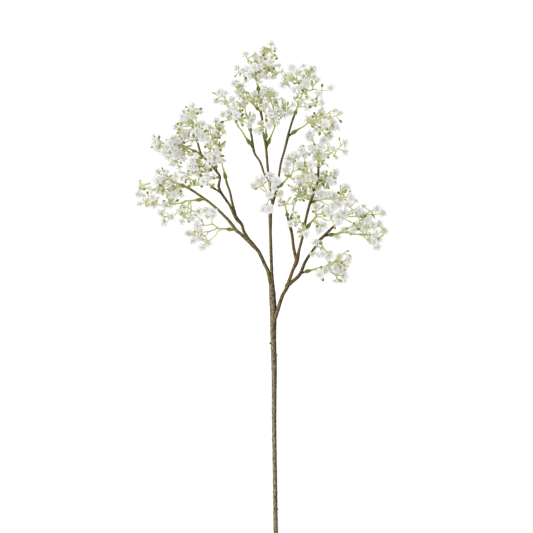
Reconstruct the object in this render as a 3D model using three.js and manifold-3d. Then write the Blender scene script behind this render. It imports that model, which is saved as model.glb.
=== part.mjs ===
// A cut stem of gypsophila, laid on a table.
//
// Millimetres. X runs across the stem, Y along it from the cut end to the crown, and +Z up from the
// table. The stem rests on its cut end and on the face-down blooms of low sprays, two on each side.
//
// The woody stem is one grown piece. Each spray is one more: a green sleeve on a woody stub, a stalk
// that forks into thin branchlets, and the double blooms and buds at their ends.

import * as THREE from 'three';
import Module from 'manifold-3d';

const wasm = await Module();
wasm.setup();

// ---- driving dimensions ----

const SEAT_GAP = 0.3; // between a stub's end and the sleeve that sits on it
const CLEARANCE = 0.7; // least distance between two sprays, or a spray and the wood
const KIN_CLEARANCE = 0.15; // least distance between shoots of one spray
const TABLE_CLEARANCE = 1.6; // least height above the table of what doesn't rest on it
const MERGE = 0.05; // facets flatter than this become one in the joined wood

const STUB = { length: 5, share: 0.35, radius: 1.25, sides: 4 };
const SLEEVE = {
  length: 12,
  share: 0.6, // or this share of the way to the fork, where that is shorter
  root: 1.2,
  belly: { at: 0.3, radius: 2.1 },
  shoulder: { at: 0.7, radius: 1.68 },
  sides: 5,
};
const STALK = { radius: 0.7, sides: 3, node: 1.1, nodeStep: 1.8 }; // side shoots leave from short nodes
const BRANCHLET = { longest: 16, bow: 0.08, nodeBehindHead: 5.5, freeAfter: 2.8, freeShare: 0.2 };
const PEDICEL = { reach: [7.5, 12], budReach: 0.7 };
const FACING = { side: 0.5, head: 0.62 }; // least cosines: of a shoot to its side, of a head to its stalk
const RISE = { least: 1.4, by: 0.45 }; // least height of a shoot over the side it leaves, by that share of it
const NODE_PULL = 0.08; // how strongly a branchlet keeps to the node of its turn
const STRAY = 1.6; // how far a side pedicel strays from its branchlet's course
const AIM = { onward: 0.7, lean: 0.35, up: 0.45 }; // a branchlet's head points on, to one side and up
const SIDE_AIM = { onward: 0.75, lean: 0.25, up: 0.35 };
const BLOOM = {
  petals: 5,
  radius: 4.7,
  notch: 0.68, // how far out the notch between two petals lies, as a share of the radius
  innerRadius: 2,
  calyxRadius: 0.8,
  calyxDepth: 2.7,
  petalLift: 0.9,
  innerLift: 2.5,
  heartLift: 0.9,
};
const BUD = { radius: 1.45, belly: 1.6, length: 4.4, sides: 4 };
const PRESSED_HEIGHT = 1.6; // height of a face-down bloom's middle above the table
const KNOB = { foot: 1.2, top: 0.7, rise: 0.8, slant: 0.6, sides: 4 }; // as shares of a knob's size
const DROOP = 9; // length of the drooping end of a branchlet with a face-down bloom
const DRIFT = 8; // how far a crowded shoot may end from its place
const TRIES = 600; // draws allowed for one shoot to find a clear place

// ---- the woody stem: centrelines as [x, y, z, radius] ----

const LIMBS = {
  trunk: {
    sides: 8,
    line: [
      [1, -3, 2.1, 2.6], [0, 70, 10, 2.6], [-1, 144, 19, 2.7], [-1, 205, 27, 2.9], [-2, 242, 32, 3.2],
      [-2, 272, 37, 3.8], [-3, 292, 40, 3.9], [-4, 307, 42, 3.3],
    ],
  },
  left: {
    sides: 7,
    line: [
      [-3, 298, 41, 2.8], [-8, 321, 45, 2.2], [-12, 330, 46, 2.1], [-19, 345, 48, 2.1],
      [-23, 350, 49, 2.2], [-28, 355.5, 50, 2.8], [-31, 360, 50.5, 2],
    ],
  },
  left_lower: {
    sides: 6,
    line: [
      [-28, 355, 50, 2.1], [-42, 368, 48, 1.9], [-47, 372, 47, 2.1], [-57, 385, 43, 1.7],
      [-76, 403, 37, 1.5], [-94, 416, 35, 1.4], [-103, 422, 35, 1.5],
    ],
  },
  left_upper: {
    sides: 6,
    line: [
      [-28, 355, 50, 2.1], [-37, 369.5, 56, 1.8], [-40, 378.5, 60, 1.8], [-46.5, 386.5, 64, 2.3],
      [-54, 401, 70, 1.6], [-63.5, 415, 74, 1.5], [-67.5, 424, 76, 1.6], [-66, 435, 78, 1.4],
      [-70, 442, 79, 1.5], [-81, 455, 80, 1.3], [-88.5, 462, 80, 1.5], [-93, 477, 80, 1.2],
      [-97, 482.5, 80, 1.3],
    ],
  },
  left_upper_twig: {
    sides: 5,
    line: [[-46.5, 386.5, 64, 1.6], [-51.5, 405.5, 64, 1.4], [-54, 417.5, 62, 1.3], [-57.5, 427, 59, 1.3]],
  },
  left_strand: {
    sides: 5,
    line: [[-58, 406, 72, 1.2], [-61, 412, 79, 1.1], [-68, 418.5, 87, 1], [-72, 421, 91, 1.1]],
  },
  centre: {
    sides: 7,
    line: [
      [-3, 298, 41, 2.6], [-4, 324, 45, 1.9], [-5, 354, 50, 1.8], [-5.5, 372, 52, 1.8],
      [-5.5, 395, 56, 2.3], [-4, 400, 57, 1.7], [-2.5, 407, 58, 2.2],
    ],
  },
  crown: {
    sides: 6,
    line: [
      [-2.5, 406, 58, 1.8], [-5.5, 416, 60, 1.5], [-6.5, 430, 62, 1.6], [-8.5, 444, 64, 1.4],
      [-10.5, 468, 66, 1.5], [-11.5, 477, 66.5, 1.6], [-15, 492, 67, 1.3], [-15.5, 505, 68, 1.4],
      [-17, 514, 68, 1.5], [-18.5, 533, 68, 1.3],
    ],
  },
  crown_left: {
    sides: 5,
    line: [
      [-6.5, 430, 62, 1.4], [-13, 440, 60, 1.2], [-15.5, 447.5, 58, 1.3], [-18.5, 455, 56, 1.2],
      [-24, 463, 53, 1.3], [-26, 470, 51, 1.5], [-28, 484, 48, 1.2],
    ],
  },
  crown_right: {
    sides: 5,
    line: [
      [-2.5, 406, 58, 1.8], [1.5, 419, 61, 1.5], [4, 432, 64, 1.3], [7, 452, 69, 1.3],
      [11.5, 468, 74, 1.4], [15.5, 484, 78, 1.6], [18, 494, 81, 1.2], [21.5, 505, 85, 1.3],
    ],
  },
  right: {
    sides: 7,
    line: [
      [-2, 262, 36.5, 2], [1.5, 270, 39.5, 2.2], [8.5, 292, 42.5, 2.1], [13.5, 301, 44, 2.1],
      [14.5, 304.5, 45, 2.8], [17, 309, 46, 2],
    ],
  },
  right_middle: {
    sides: 6,
    line: [
      [14.5, 304.5, 45, 2.1], [18, 314, 48, 1.9], [21.5, 324, 51, 1.9], [26, 334.5, 54, 2.5],
      [29, 348, 59, 1.6], [33.5, 366, 65, 1.7], [37, 385, 70, 1.5], [42, 404.5, 74, 1.6],
      [47, 418, 77, 1.4], [50.5, 429, 79, 1.5], [52, 443, 82, 1.4],
    ],
  },
  right_inner: {
    sides: 6,
    line: [
      [26, 334.5, 54, 2], [22.5, 350, 54, 1.8], [20.5, 366, 52, 1.7], [18, 377, 50, 1.9],
      [16, 383, 48, 1.5],
    ],
  },
  right_outer: {
    sides: 6,
    line: [
      [14.5, 304.5, 45, 2.1], [22, 311, 46, 2], [30, 319, 44, 2], [37, 335, 40, 1.7],
      [47, 349.5, 36, 1.7], [53, 359, 34, 1.8], [60, 366, 32, 1.7], [70, 376, 30, 1.4],
    ],
  },
};

// Small knobs of old bark on the trunk, as [x, y, z, size].
const KNOBS = [[-5, 236, 32.5, 1.5], [1.5, 222, 30, 1.3], [3, 36, 6.6, 1.3], [-4, 120, 17.2, 1.1]];

// ---- the sprays ----
// from: the place on the wood that the spray springs from; fork: where its stalk divides; spread: how
// far its branchlets lie above and below the fork; seed: of its random draws; tips: [x, y, blooms, buds],
// and true for a branchlet whose first bloom lies face down on the table.

const SPRAYS = {
  left_low: {
    from: [-47, 372, 47], fork: [-66, 374, 36], spread: 16, seed: 1,
    tips: [[-85, 394, 2, 0], [-93, 379, 2, 1], [-106, 366, 3, 0], [-92, 363, 2, 1], [-88, 352, 2, 0]],
  },
  left_hanging: {
    from: [-84, 409, 36.3], fork: [-107, 407, 17], spread: 9, seed: 2,
    tips: [
      [-146, 403, 2, 0, true], [-137, 392, 2, 0, true], [-132, 402, 1, 1], [-125, 389, 1, 0],
      [-112, 382, 1, 1], [-101, 390, 2, 0],
    ],
  },
  left_tip: {
    from: [-103, 422, 35], fork: [-121, 430, 28], spread: 14, seed: 2,
    tips: [
      [-165, 420, 2, 0, true], [-163, 403, 1, 0], [-140, 420, 1, 1], [-121, 419, 2, 1], [-141, 431, 3, 1],
      [-141, 442, 2, 1],
    ],
  },
  left_inner_low: {
    from: [-66, 435, 78], fork: [-85, 435, 63], spread: 18, seed: 1,
    tips: [[-96, 448, 1, 1], [-82, 447, 1, 0], [-111, 441, 0, 2]],
  },
  left_inner_tip: {
    from: [-72, 421, 91], fork: [-79, 426, 98], spread: 10, seed: 1,
    tips: [[-86, 431, 1, 1], [-97, 427, 0, 1]],
  },
  left_mid: {
    from: [-88.5, 462, 80], fork: [-107, 472, 72], spread: 18, seed: 15,
    tips: [
      [-143, 477, 2, 0], [-133, 465, 2, 0], [-131, 474, 1, 0], [-115, 474, 2, 1], [-119, 461, 2, 1],
      [-121, 483, 1, 1], [-124, 452, 1, 1],
    ],
  },
  left_crown: {
    from: [-97, 482.5, 80], fork: [-98, 491, 84], spread: 20, seed: 4,
    tips: [
      [-98, 520, 1, 1], [-100, 513, 2, 1], [-112, 506, 1, 1], [-119, 498, 2, 1], [-109, 490, 1, 0],
      [-95, 491, 2, 0], [-85, 482, 1, 0],
    ],
  },
  left_upper_inner: {
    from: [-70, 442, 79], fork: [-73, 459, 97], spread: 16, seed: 1,
    tips: [[-83, 482, 0, 1], [-80, 472, 1, 1], [-98, 456, 2, 0], [-70, 463, 1, 1]],
  },
  left_upper_outer: {
    from: [-57.5, 427, 59], fork: [-64, 454, 56], spread: 16, seed: 2,
    tips: [[-71, 503, 1, 0], [-79, 495, 2, 1], [-67, 474, 0, 2]],
  },
  crown_tip: {
    from: [-18.5, 533, 68], fork: [-22, 552, 68], spread: 26, seed: 8,
    tips: [
      [-4, 595, 1, 1], [-13, 590, 1, 0], [2, 578, 0, 1], [-35, 583, 1, 0], [-22, 581, 1, 0],
      [-46, 566, 1, 1], [-37, 565, 1, 0], [-5, 574, 2, 1], [-14, 569, 2, 0], [-25, 567, 3, 1],
    ],
  },
  crown_left: {
    from: [-17, 514, 68], fork: [-26, 522, 78], spread: 16, seed: 1,
    tips: [[-50, 547, 1, 0], [-37, 547, 1, 0], [-42, 532, 1, 0], [-25, 533, 1, 1]],
  },
  crown_low_left: {
    from: [-28, 484, 48], fork: [-33, 509, 44], spread: 14, seed: 1,
    tips: [[-38, 526, 1, 1], [-49, 519, 2, 0], [-30, 504, 1, 0]],
  },
  crown_far_left: {
    from: [-26, 470, 51], fork: [-46, 499, 60], spread: 20, seed: 1,
    tips: [
      [-67, 539, 2, 0], [-50, 529, 1, 0], [-60, 526, 1, 0], [-62, 511, 1, 0], [-55, 512, 1, 0],
      [-48, 510, 1, 2],
    ],
  },
  crown_mid: {
    from: [-11.5, 477, 66.5], fork: [-10, 502, 88], spread: 18, seed: 1,
    tips: [[-13, 534, 0, 1], [-13, 520, 1, 1], [-19, 492, 1, 0], [-8, 496, 1, 1]],
  },
  crown_mid_right: {
    from: [-10.7, 470, 66.1], fork: [1, 499, 50], spread: 20, seed: 6,
    tips: [[-6, 540, 3, 0], [-1, 528, 1, 0], [13, 522, 2, 0], [10, 511, 1, 0], [-2, 511, 1, 1]],
  },
  crown_right_tip: {
    from: [21.5, 505, 85], fork: [28, 522, 82], spread: 30, seed: 1,
    tips: [
      [67, 542, 1, 0], [52, 550, 1, 1], [56, 526, 2, 1], [43, 567, 2, 1], [36, 547, 1, 1],
      [26, 560, 1, 1], [19, 565, 1, 0], [11, 556, 1, 1], [19, 554, 1, 0], [25, 541, 1, 0],
      [38, 521, 1, 0], [23, 530, 0, 2],
    ],
  },
  crown_right_side: {
    from: [15.5, 484, 78], fork: [40, 501, 66], spread: 22, seed: 5,
    tips: [
      [78, 511, 1, 0], [71, 516, 1, 0], [73, 494, 2, 0], [68, 485, 2, 0], [62, 499, 2, 1],
      [56, 512, 1, 1], [48, 503, 2, 1],
    ],
  },
  middle_right: {
    from: [2, 421, 61.5], fork: [19, 437, 84], spread: 14, seed: 1,
    tips: [[16, 458, 1, 0], [25, 460, 1, 0], [30, 448, 2, 0], [24, 433, 0, 1], [13, 443, 1, 1]],
  },
  middle_fork: {
    from: [-2.5, 407, 58], fork: [-6, 412, 72], spread: 14, seed: 3,
    tips: [
      [-25, 427, 1, 0], [-18, 432, 1, 0], [-6, 437, 2, 0], [-14, 398, 2, 0], [-6, 413, 1, 0],
      [6, 415, 1, 0],
    ],
  },
  right_low: {
    from: [30.5, 320, 43.8], fork: [52, 326, 34], spread: 18, seed: 4,
    tips: [
      [83, 311, 1, 0], [82, 317, 1, 1], [83, 329, 3, 0], [86, 337, 1, 0], [72, 326, 1, 1],
      [62, 320, 2, 0], [88, 347, 0, 1],
    ],
  },
  right_inner_drop: {
    from: [53, 359, 34], fork: [57, 353, 50], spread: 12, seed: 2,
    tips: [[54, 343, 2, 1], [66, 342, 2, 0]],
  },
  right_reach: {
    from: [59, 365, 32.3], fork: [84, 369, 18], spread: 9, seed: 2,
    tips: [
      [132, 371, 2, 0, true], [124, 361, 2, 1, true], [118, 377, 1, 0], [111, 373, 2, 1], [102, 380, 1, 1],
      [119, 358, 1, 0], [74, 366, 1, 0],
    ],
  },
  right_tip: {
    from: [70, 376, 30], fork: [79, 383, 31], spread: 14, seed: 6,
    tips: [
      [132, 386, 1, 0, true], [122, 397, 1, 0], [112, 384, 1, 0], [100, 397, 2, 1], [84, 392, 1, 2],
      [75, 387, 1, 0],
    ],
  },
  right_upright_low: {
    from: [34, 369, 65.8], fork: [50, 390, 60], spread: 16, seed: 1,
    tips: [[76, 382, 1, 0], [64, 394, 1, 0], [58, 376, 1, 1], [49, 400, 1, 0]],
  },
  right_upright_drop: {
    from: [34.5, 372, 66.6], fork: [35, 379, 84], spread: 12, seed: 5,
    tips: [[25, 383, 1, 0], [39, 367, 1, 1]],
  },
  right_inner_tip: {
    from: [18, 377, 50], fork: [24, 408, 44], spread: 16, seed: 3,
    tips: [[34, 436, 1, 0], [31, 429, 2, 0], [34, 422, 0, 2], [44, 418, 1, 1]],
  },
  right_inner_fork: {
    from: [16, 383, 48], fork: [13, 399, 52], spread: 8, seed: 1,
    tips: [[6, 415, 1, 0], [11, 406, 0, 1]],
  },
  right_upper_side: {
    from: [50.5, 429, 79], fork: [58, 433, 70], spread: 12, seed: 2,
    tips: [[66, 432, 1, 1], [73, 440, 2, 1]],
  },
  right_crown: {
    from: [52, 443, 82], fork: [52, 451, 86], spread: 22, seed: 14,
    tips: [
      [83, 476, 1, 0], [71, 468, 1, 0], [60, 460, 1, 1], [54, 470, 1, 1], [44, 483, 2, 0], [44, 467, 2, 0],
      [49, 460, 1, 0], [32, 468, 1, 1],
    ],
  },
  right_crown_left: {
    from: [47, 418, 77], fork: [41, 427, 93], spread: 14, seed: 2,
    tips: [[34, 461, 1, 0], [44, 451, 1, 0], [36, 449, 0, 2], [46, 434, 1, 0]],
  },
  right_mid: {
    from: [42, 404.5, 74], fork: [52, 408, 60], spread: 18, seed: 5,
    tips: [[90, 412, 1, 1], [84, 418, 1, 1], [72, 413, 1, 0], [71, 399, 2, 0], [56, 415, 1, 0]],
  },
};

const UP = new THREE.Vector3(0, 0, 1);

// ---- small helpers ----

/** A seeded generator of numbers from 0 to 1. */
function seeded(seed) {
  let state = seed >>> 0;
  return () => {
    state = (state + 0x6d2b79f5) >>> 0;
    let mixed = Math.imul(state ^ (state >>> 15), state | 1);
    mixed ^= mixed + Math.imul(mixed ^ (mixed >>> 7), mixed | 61);
    return ((mixed ^ (mixed >>> 14)) >>> 0) / 4294967296;
  };
}

/** A vector with each part drawn from -1 to 1. */
function scatter(random) {
  const x = 2 * random() - 1;
  const y = 2 * random() - 1;
  const z = 2 * random() - 1;
  return new THREE.Vector3(x, y, z);
}

const vector = (xyz) => new THREE.Vector3(xyz[0], xyz[1], xyz[2]);
const along = (start, direction, distance) => start.clone().addScaledVector(direction, distance);
const directionTo = (start, end) => end.clone().sub(start).normalize();

/** The least distance between the segments a0-a1 and b0-b1. */
function segmentDistance(a0, a1, b0, b1) {
  const a = a1.clone().sub(a0);
  const b = b1.clone().sub(b0);
  const gap = a0.clone().sub(b0);
  const aa = Math.max(a.dot(a), 1e-9);
  const bb = Math.max(b.dot(b), 1e-9);
  const ab = a.dot(b);
  const ag = a.dot(gap);
  const bg = b.dot(gap);
  const spread = aa * bb - ab * ab;
  const clamp = (value) => Math.min(Math.max(value, 0), 1);
  let s = spread > 1e-9 ? clamp((ab * bg - ag * bb) / spread) : 0;
  const t = clamp((ab * s + bg) / bb);
  s = clamp((ab * t - ag) / aa);
  return gap.addScaledVector(a, s).addScaledVector(b, -t).length();
}

// ---- closed surfaces, laid ring by ring ----

/** Points evenly round a centre, across the direction; the side vector says where the first one lies. */
function ring(centre, direction, radius, sides, side, turn = 0) {
  const across = along(side, direction, -side.dot(direction)).normalize();
  const other = direction.clone().cross(across);
  return Array.from({ length: sides }, (_, index) => {
    const angle = (2 * Math.PI * (index + turn)) / sides;
    const reach = typeof radius === 'function' ? radius(index) : radius;
    return along(centre, across, reach * Math.cos(angle)).addScaledVector(other, reach * Math.sin(angle));
  });
}

/** A vector that stays clear of the direction, to measure ring angles from. */
const sideOf = (direction) => (Math.abs(direction.x) > 0.8 ? UP.clone() : new THREE.Vector3(1, 0, 0));

class Surface {
  points = [];

  faces = [];

  /** Adds points and gives back their numbers. */
  lay(points) {
    const first = this.points.length;
    this.points.push(...points);
    return points.map((_, index) => first + index);
  }

  /** The way that each point of a ring lies from its middle, as seen along the course. */
  bearings(numbers, course) {
    const middle = this.centreOf(numbers);
    return numbers.map((number) => {
      const arm = this.points[number].clone().sub(middle);
      return arm.addScaledVector(course, -arm.dot(course)).normalize();
    });
  }

  /** The far ring, started from the point that twists its join to the low ring least. */
  untwisted(low, far) {
    const course = directionTo(this.centreOf(low), this.centreOf(far));
    const here = this.bearings(low, course);
    const there = this.bearings(far, course);
    const match = (start) => here.reduce((sum, bearing, index) => {
      const partner = start + Math.round((index * far.length) / low.length);
      return sum + bearing.dot(there[partner % far.length]);
    }, 0);
    const start = far.reduce((best, _, index) => (match(index) > match(best) ? index : best), 0);
    return [...far.slice(start), ...far.slice(0, start)];
  }

  /** Joins two rings with triangles, whatever their numbers of points. */
  bridge(low, far) {
    const high = this.untwisted(low, far);
    let i = 0;
    let j = 0;
    const lowDone = () => low.length === 1 || i === low.length;
    const highDone = () => high.length === 1 || j === high.length;
    while (!lowDone() || !highDone()) {
      if (!lowDone() && (highDone() || (i + 1) / low.length <= (j + 1) / high.length)) {
        this.faces.push([low[i], low[(i + 1) % low.length], high[j % high.length]]);
        i += 1;
      } else {
        this.faces.push([low[i % low.length], high[(j + 1) % high.length], high[j]]);
        j += 1;
      }
    }
  }

  /** Lays rings one after another from the ring given, and gives back the last. */
  extend(from, rings) {
    return rings.reduce((last, points) => {
      const next = this.lay(points);
      this.bridge(last, next);
      return next;
    }, from);
  }

  /** Closes a ring with flat triangles; the first ring of a surface is closed the other way round. */
  cap(numbers, isFirst) {
    for (let index = 1; index + 1 < numbers.length; index += 1) {
      const face = [numbers[0], numbers[index], numbers[index + 1]];
      this.faces.push(isFirst ? face.reverse() : face);
    }
  }

  /** Joins two like rings, but leaves the given sides open; gives back the rims of the open sides. */
  band(low, high, openSides) {
    const { length } = low;
    for (let side = 0; side < length; side += 1) {
      const next = (side + 1) % length;
      if (!openSides.includes(side)) {
        this.faces.push([low[side], low[next], high[side]], [low[next], high[next], high[side]]);
      }
    }
    return openSides.map((side) => {
      const next = (side + 1) % length;
      return [low[side], low[next], high[next], high[side]];
    });
  }

  centreOf(numbers) {
    return numbers.reduce((sum, number) => sum.add(this.points[number]), new THREE.Vector3())
      .divideScalar(numbers.length);
  }

  solid() {
    return new wasm.Manifold(new wasm.Mesh({
      numProp: 3,
      vertProperties: new Float32Array(this.points.flatMap((point) => point.toArray())),
      triVerts: new Uint32Array(this.faces.flat()),
    }));
  }
}

/** Rings for a tube through the points; the radii go with the points. */
function tubeRings(points, radii, sides, side) {
  return points.map((point, index) => {
    const before = points[Math.max(index - 1, 0)];
    const after = points[Math.min(index + 1, points.length - 1)];
    return ring(point, directionTo(before, after), radii[index], sides, side);
  });
}

/** A closed tube with flat ends. */
function tube(points, radii, sides) {
  const surface = new Surface();
  const rings = tubeRings(points, radii, sides, sideOf(directionTo(points[0], points.at(-1))));
  const first = surface.lay(rings[0]);
  surface.cap(first, true);
  surface.cap(surface.extend(first, rings.slice(1)), false);
  return surface.solid();
}

// ---- room to grow ----

/**
 * A round-ended rod that stands for a stretch of stem, or for a head. Shoots that leave one place are
 * close together at first, so between two of one spray each rod counts from its free start on.
 */
function rod(start, end, radius, { isHead = false, freeAfter = 0 } = {}) {
  const length = start.distanceTo(end);
  const freeStart = length > freeAfter ? start.clone().lerp(end, length ? freeAfter / length : 0) : end;
  return { start, end, radius, isHead, freeStart };
}

/** Everything grown so far, so that new growth can keep clear of it. */
class Thicket {
  rods = [];

  add(owner, shoot) {
    shoot.rods.forEach((grown) => this.rods.push({ owner, shoot, ...grown }));
  }

  /** True where the rods keep clear of the table and of everything grown so far. */
  isClear(owner, rods, tableClearance, carrier) {
    return rods.every((grown) => {
      if (Math.min(grown.start.z, grown.end.z) - grown.radius < tableClearance) return false;
      return this.rods.every((other) => {
        const isKin = other.owner === owner;
        const least = grown.radius + other.radius + (isKin ? KIN_CLEARANCE : CLEARANCE);
        const span = grown.start.distanceTo(grown.end) + other.start.distanceTo(other.end);
        if (grown.start.distanceTo(other.start) - span > least) return true;
        const near = (a, b) => segmentDistance(a, grown.end, b, other.end) <= least;
        if (!isKin || grown.isHead || other.isHead) return !near(grown.start, other.start);
        if (other.shoot === carrier) return !near(grown.freeStart, other.start);
        return !near(grown.freeStart, other.start) && !near(grown.start, other.freeStart);
      });
    });
  }
}

// ---- the woody stem ----

/** A small knob of bark, proud of the trunk. */
function knob([x, y, z, size]) {
  const centre = new THREE.Vector3(x, y, z);
  const out = new THREE.Vector3(Math.sign(x + 1), 0, KNOB.slant).normalize();
  const ends = [along(centre, out, -size), along(centre, out, KNOB.rise * size)];
  return tube(ends, [KNOB.foot * size, KNOB.top * size], KNOB.sides);
}

/** The stub that a spray sits on: from the middle of its limb outwards, towards the spray's fork. */
function stubOf(plan) {
  const from = vector(plan.from);
  const fork = vector(plan.fork);
  const direction = directionTo(from, fork);
  const end = along(from, direction, Math.min(STUB.length, STUB.share * from.distanceTo(fork)));
  return { from, fork, direction, end };
}

function growWood(thicket) {
  const limbs = Object.values(LIMBS).map(({ sides, line }) => {
    const points = line.map(vector);
    const radii = line.map(([, , , radius]) => radius);
    const rods = points.slice(1).map((point, index) => (
      rod(points[index], point, Math.max(radii[index], radii[index + 1]))));
    thicket.add('wood', { rods });
    return tube(points, radii, sides);
  });
  const stubs = Object.values(SPRAYS).map((plan) => {
    const { from, end } = stubOf(plan);
    thicket.add('wood', { rods: [rod(from, end, STUB.radius)] });
    return tube([from, end], [STUB.radius, STUB.radius], STUB.sides);
  });
  const joined = wasm.Manifold.union([...limbs, ...stubs, ...KNOBS.map(knob)]);
  return joined.trimByPlane([0, 1, 0], 0).trimByPlane([0, 0, 1], 0).simplify(MERGE);
}

// ---- planning a spray: where its shoots and heads lie ----

/** The green sleeve on its stub, and the stalk that goes on from it, with its nodes round the fork. */
function planStalk(plan) {
  const { fork, direction, end } = stubOf(plan);
  const foot = along(end, direction, SEAT_GAP);
  const length = Math.min(SLEEVE.length, SLEEVE.share * foot.distanceTo(fork));
  const neck = along(foot, direction, length);
  const nodeCount = plan.tips.length - 1;
  const half = (nodeCount + 1) * 0.5 * STALK.nodeStep;
  const middle = Math.max((neck.distanceTo(fork) + STALK.nodeStep) / 2, half);
  const nodes = Array.from({ length: nodeCount }, (_, index) => (
    along(neck, direction, middle + (index - (nodeCount - 1) / 2) * STALK.nodeStep)));
  const tip = along(neck, direction, middle + half);
  const rods = [rod(foot, neck, SLEEVE.belly.radius), rod(neck, tip, STALK.radius)];
  return { foot, direction, length, neck, fork, nodes, tip, rods, used: [] };
}

/** The outward directions of the flat sides of a stalk. */
function sideNormals(direction, side) {
  return ring(new THREE.Vector3(), direction, 1, STALK.sides, side, 0.5);
}

/** The direction of a shoot's last stretch. */
const legDirection = ({ points }) => directionTo(...points.slice(-2));

/** A vector across all the stretches of a shoot, so that its tube doesn't twist. */
function acrossShoot({ points }) {
  const leg = legDirection({ points });
  const across = directionTo(points[0], points[1]).cross(leg);
  return across.length() > 0.05 ? across.normalize() : sideOf(leg);
}

/** How well a shoot to a target faces a side, from -1 to 1, or -1 where it would run too close along it. */
function facing(root, target, direction, normal) {
  const course = target.clone().sub(root);
  if (RISE.by * course.dot(normal) < RISE.least) return -1;
  return along(course, direction, -course.dot(direction)).normalize().dot(normal);
}

/** The rods of a shoot from its root through its joints to its head. */
function shootRods(points, head, isBloom) {
  const { centre, axis } = head;
  const half = isBloom ? 0 : BUD.length / 2 - BUD.radius;
  const reach = isBloom ? BLOOM.radius + 0.1 : BUD.radius;
  const span = points[0].distanceTo(centre);
  const stretches = points.slice(1).map((point, index) => rod(points[index], point, STALK.radius, {
    freeAfter: index ? 0 : Math.max(BRANCHLET.freeAfter, BRANCHLET.freeShare * span),
  }));
  return [...stretches, rod(along(centre, axis, -half), along(centre, axis, half), reach, { isHead: true })];
}

/** Draws until the shoot has a clear place and a head that goes on from its stalk without a kink. */
function firstClear(thicket, owner, tableClearance, carrier, draw) {
  for (let attempt = 0; attempt < TRIES; attempt += 1) {
    const shoot = draw(attempt / TRIES);
    if (shoot && legDirection(shoot).dot(shoot.head.axis) > FACING.head) {
      shoot.rods = shootRods(shoot.points, shoot.head, shoot.isBloom);
      if (thicket.isClear(owner, shoot.rods, tableClearance, carrier)) {
        thicket.add(owner, shoot);
        carrier.used.push({ node: shoot.node, side: shoot.side });
        return shoot;
      }
    }
  }
  throw new Error(`no clear place on ${owner}`);
}

/** The way a head points: on from its shoot, leaning to one side, and up to the light. */
const aim = (onward, lean, shares) => onward.clone().multiplyScalar(shares.onward)
  .addScaledVector(lean, shares.lean).addScaledVector(UP, shares.up).normalize();

/** The place where a head joins its stalk. */
const headFoot = ({ centre, axis }, isBloom) => (
  along(centre, axis, isBloom ? -BLOOM.calyxDepth : -BUD.length / 2));

/**
 * The node and side of the stalk by which a branchlet leaves for its tip. Later branchlets point
 * further ahead, so on each side they leave further up. The last one goes on from the stalk's end.
 */
function rootFor(stalk, centre, isLast, ideal) {
  if (isLast) return { root: stalk.tip };
  const normals = sideNormals(stalk.direction, sideOf(stalk.direction));
  let best = { score: -Infinity };
  stalk.nodes.forEach((root, node) => {
    normals.forEach((normal, side) => {
      const isFree = stalk.used.every((use) => use.side !== side || use.node < node);
      const fit = facing(root, centre, stalk.direction, normal);
      const score = fit - NODE_PULL * Math.abs(node - ideal);
      if (isFree && fit > FACING.side && score > best.score) best = { score, root, node, side };
    });
  });
  return best.root ? best : null;
}

/** A branchlet from the stalk out to a tip, with its first bloom or bud. */
function planBranchlet(name, plan, tip, ideal, stalk, random, thicket) {
  const [x, y, blooms, , faceDown] = tip;
  const isBloom = blooms > 0;
  const isLast = ideal === plan.tips.length - 1;
  return firstClear(thicket, name, faceDown ? -BLOOM.radius : TABLE_CLEARANCE, stalk, (strain) => {
    const drift = scatter(random);
    const lean = scatter(random);
    const turn = random();
    const height = faceDown ? PRESSED_HEIGHT : stalk.fork.z + plan.spread * drift.z;
    const centre = new THREE.Vector3(x + DRIFT * strain * drift.x, y + DRIFT * strain * drift.y, height);
    const place = rootFor(stalk, centre, isLast, ideal);
    if (!place) return null;
    const { root, node, side } = place;
    const toTip = directionTo(root, centre);
    const axis = faceDown ? UP.clone().negate() : aim(toTip, lean, AIM);
    const head = { centre, axis };
    const foot = headFoot(head, isBloom);
    const reach = root.distanceTo(foot);
    const outward = along(toTip, stalk.direction, -toTip.dot(stalk.direction)).normalize();
    const middle = along(root.clone().lerp(foot, 0.5), outward, isLast ? 0 : BRANCHLET.bow * reach);
    const descent = faceDown ? [middle, along(foot, axis, -DROOP)] : [middle];
    const points = reach > BRANCHLET.longest || faceDown ? [root, ...descent, foot] : [root, foot];
    return { points, head, isBloom, turn, toTip, node, side, used: [] };
  });
}

/** The node near a branchlet's head where its side pedicels leave. */
function sideNode({ points }) {
  const [before, foot] = points.slice(-2);
  return foot.clone().lerp(before, Math.min(BRANCHLET.nodeBehindHead / before.distanceTo(foot), 0.5));
}

/** A short side pedicel with one more bloom or bud. */
function planPedicel(name, branchlet, isBloom, random, thicket) {
  const root = sideNode(branchlet);
  const direction = legDirection(branchlet);
  const normals = sideNormals(direction, acrossShoot(branchlet));
  return firstClear(thicket, name, TABLE_CLEARANCE, branchlet, () => {
    const stray = scatter(random);
    const lean = scatter(random);
    const [nearest, farthest] = PEDICEL.reach;
    const reach = (isBloom ? 1 : PEDICEL.budReach) * (nearest + (farthest - nearest) * random());
    const turn = random();
    const heading = along(direction, stray, STRAY).normalize();
    const centre = along(root, heading, reach);
    const fits = normals.map((normal, side) => (
      branchlet.used.some((use) => use.side === side) ? -1 : facing(root, centre, direction, normal)));
    const side = fits.indexOf(Math.max(...fits));
    if (fits[side] < FACING.side) return null;
    const head = { centre, axis: aim(heading, lean, SIDE_AIM) };
    return { points: [root, headFoot(head, isBloom)], head, isBloom, turn, node: 0, side };
  });
}

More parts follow.
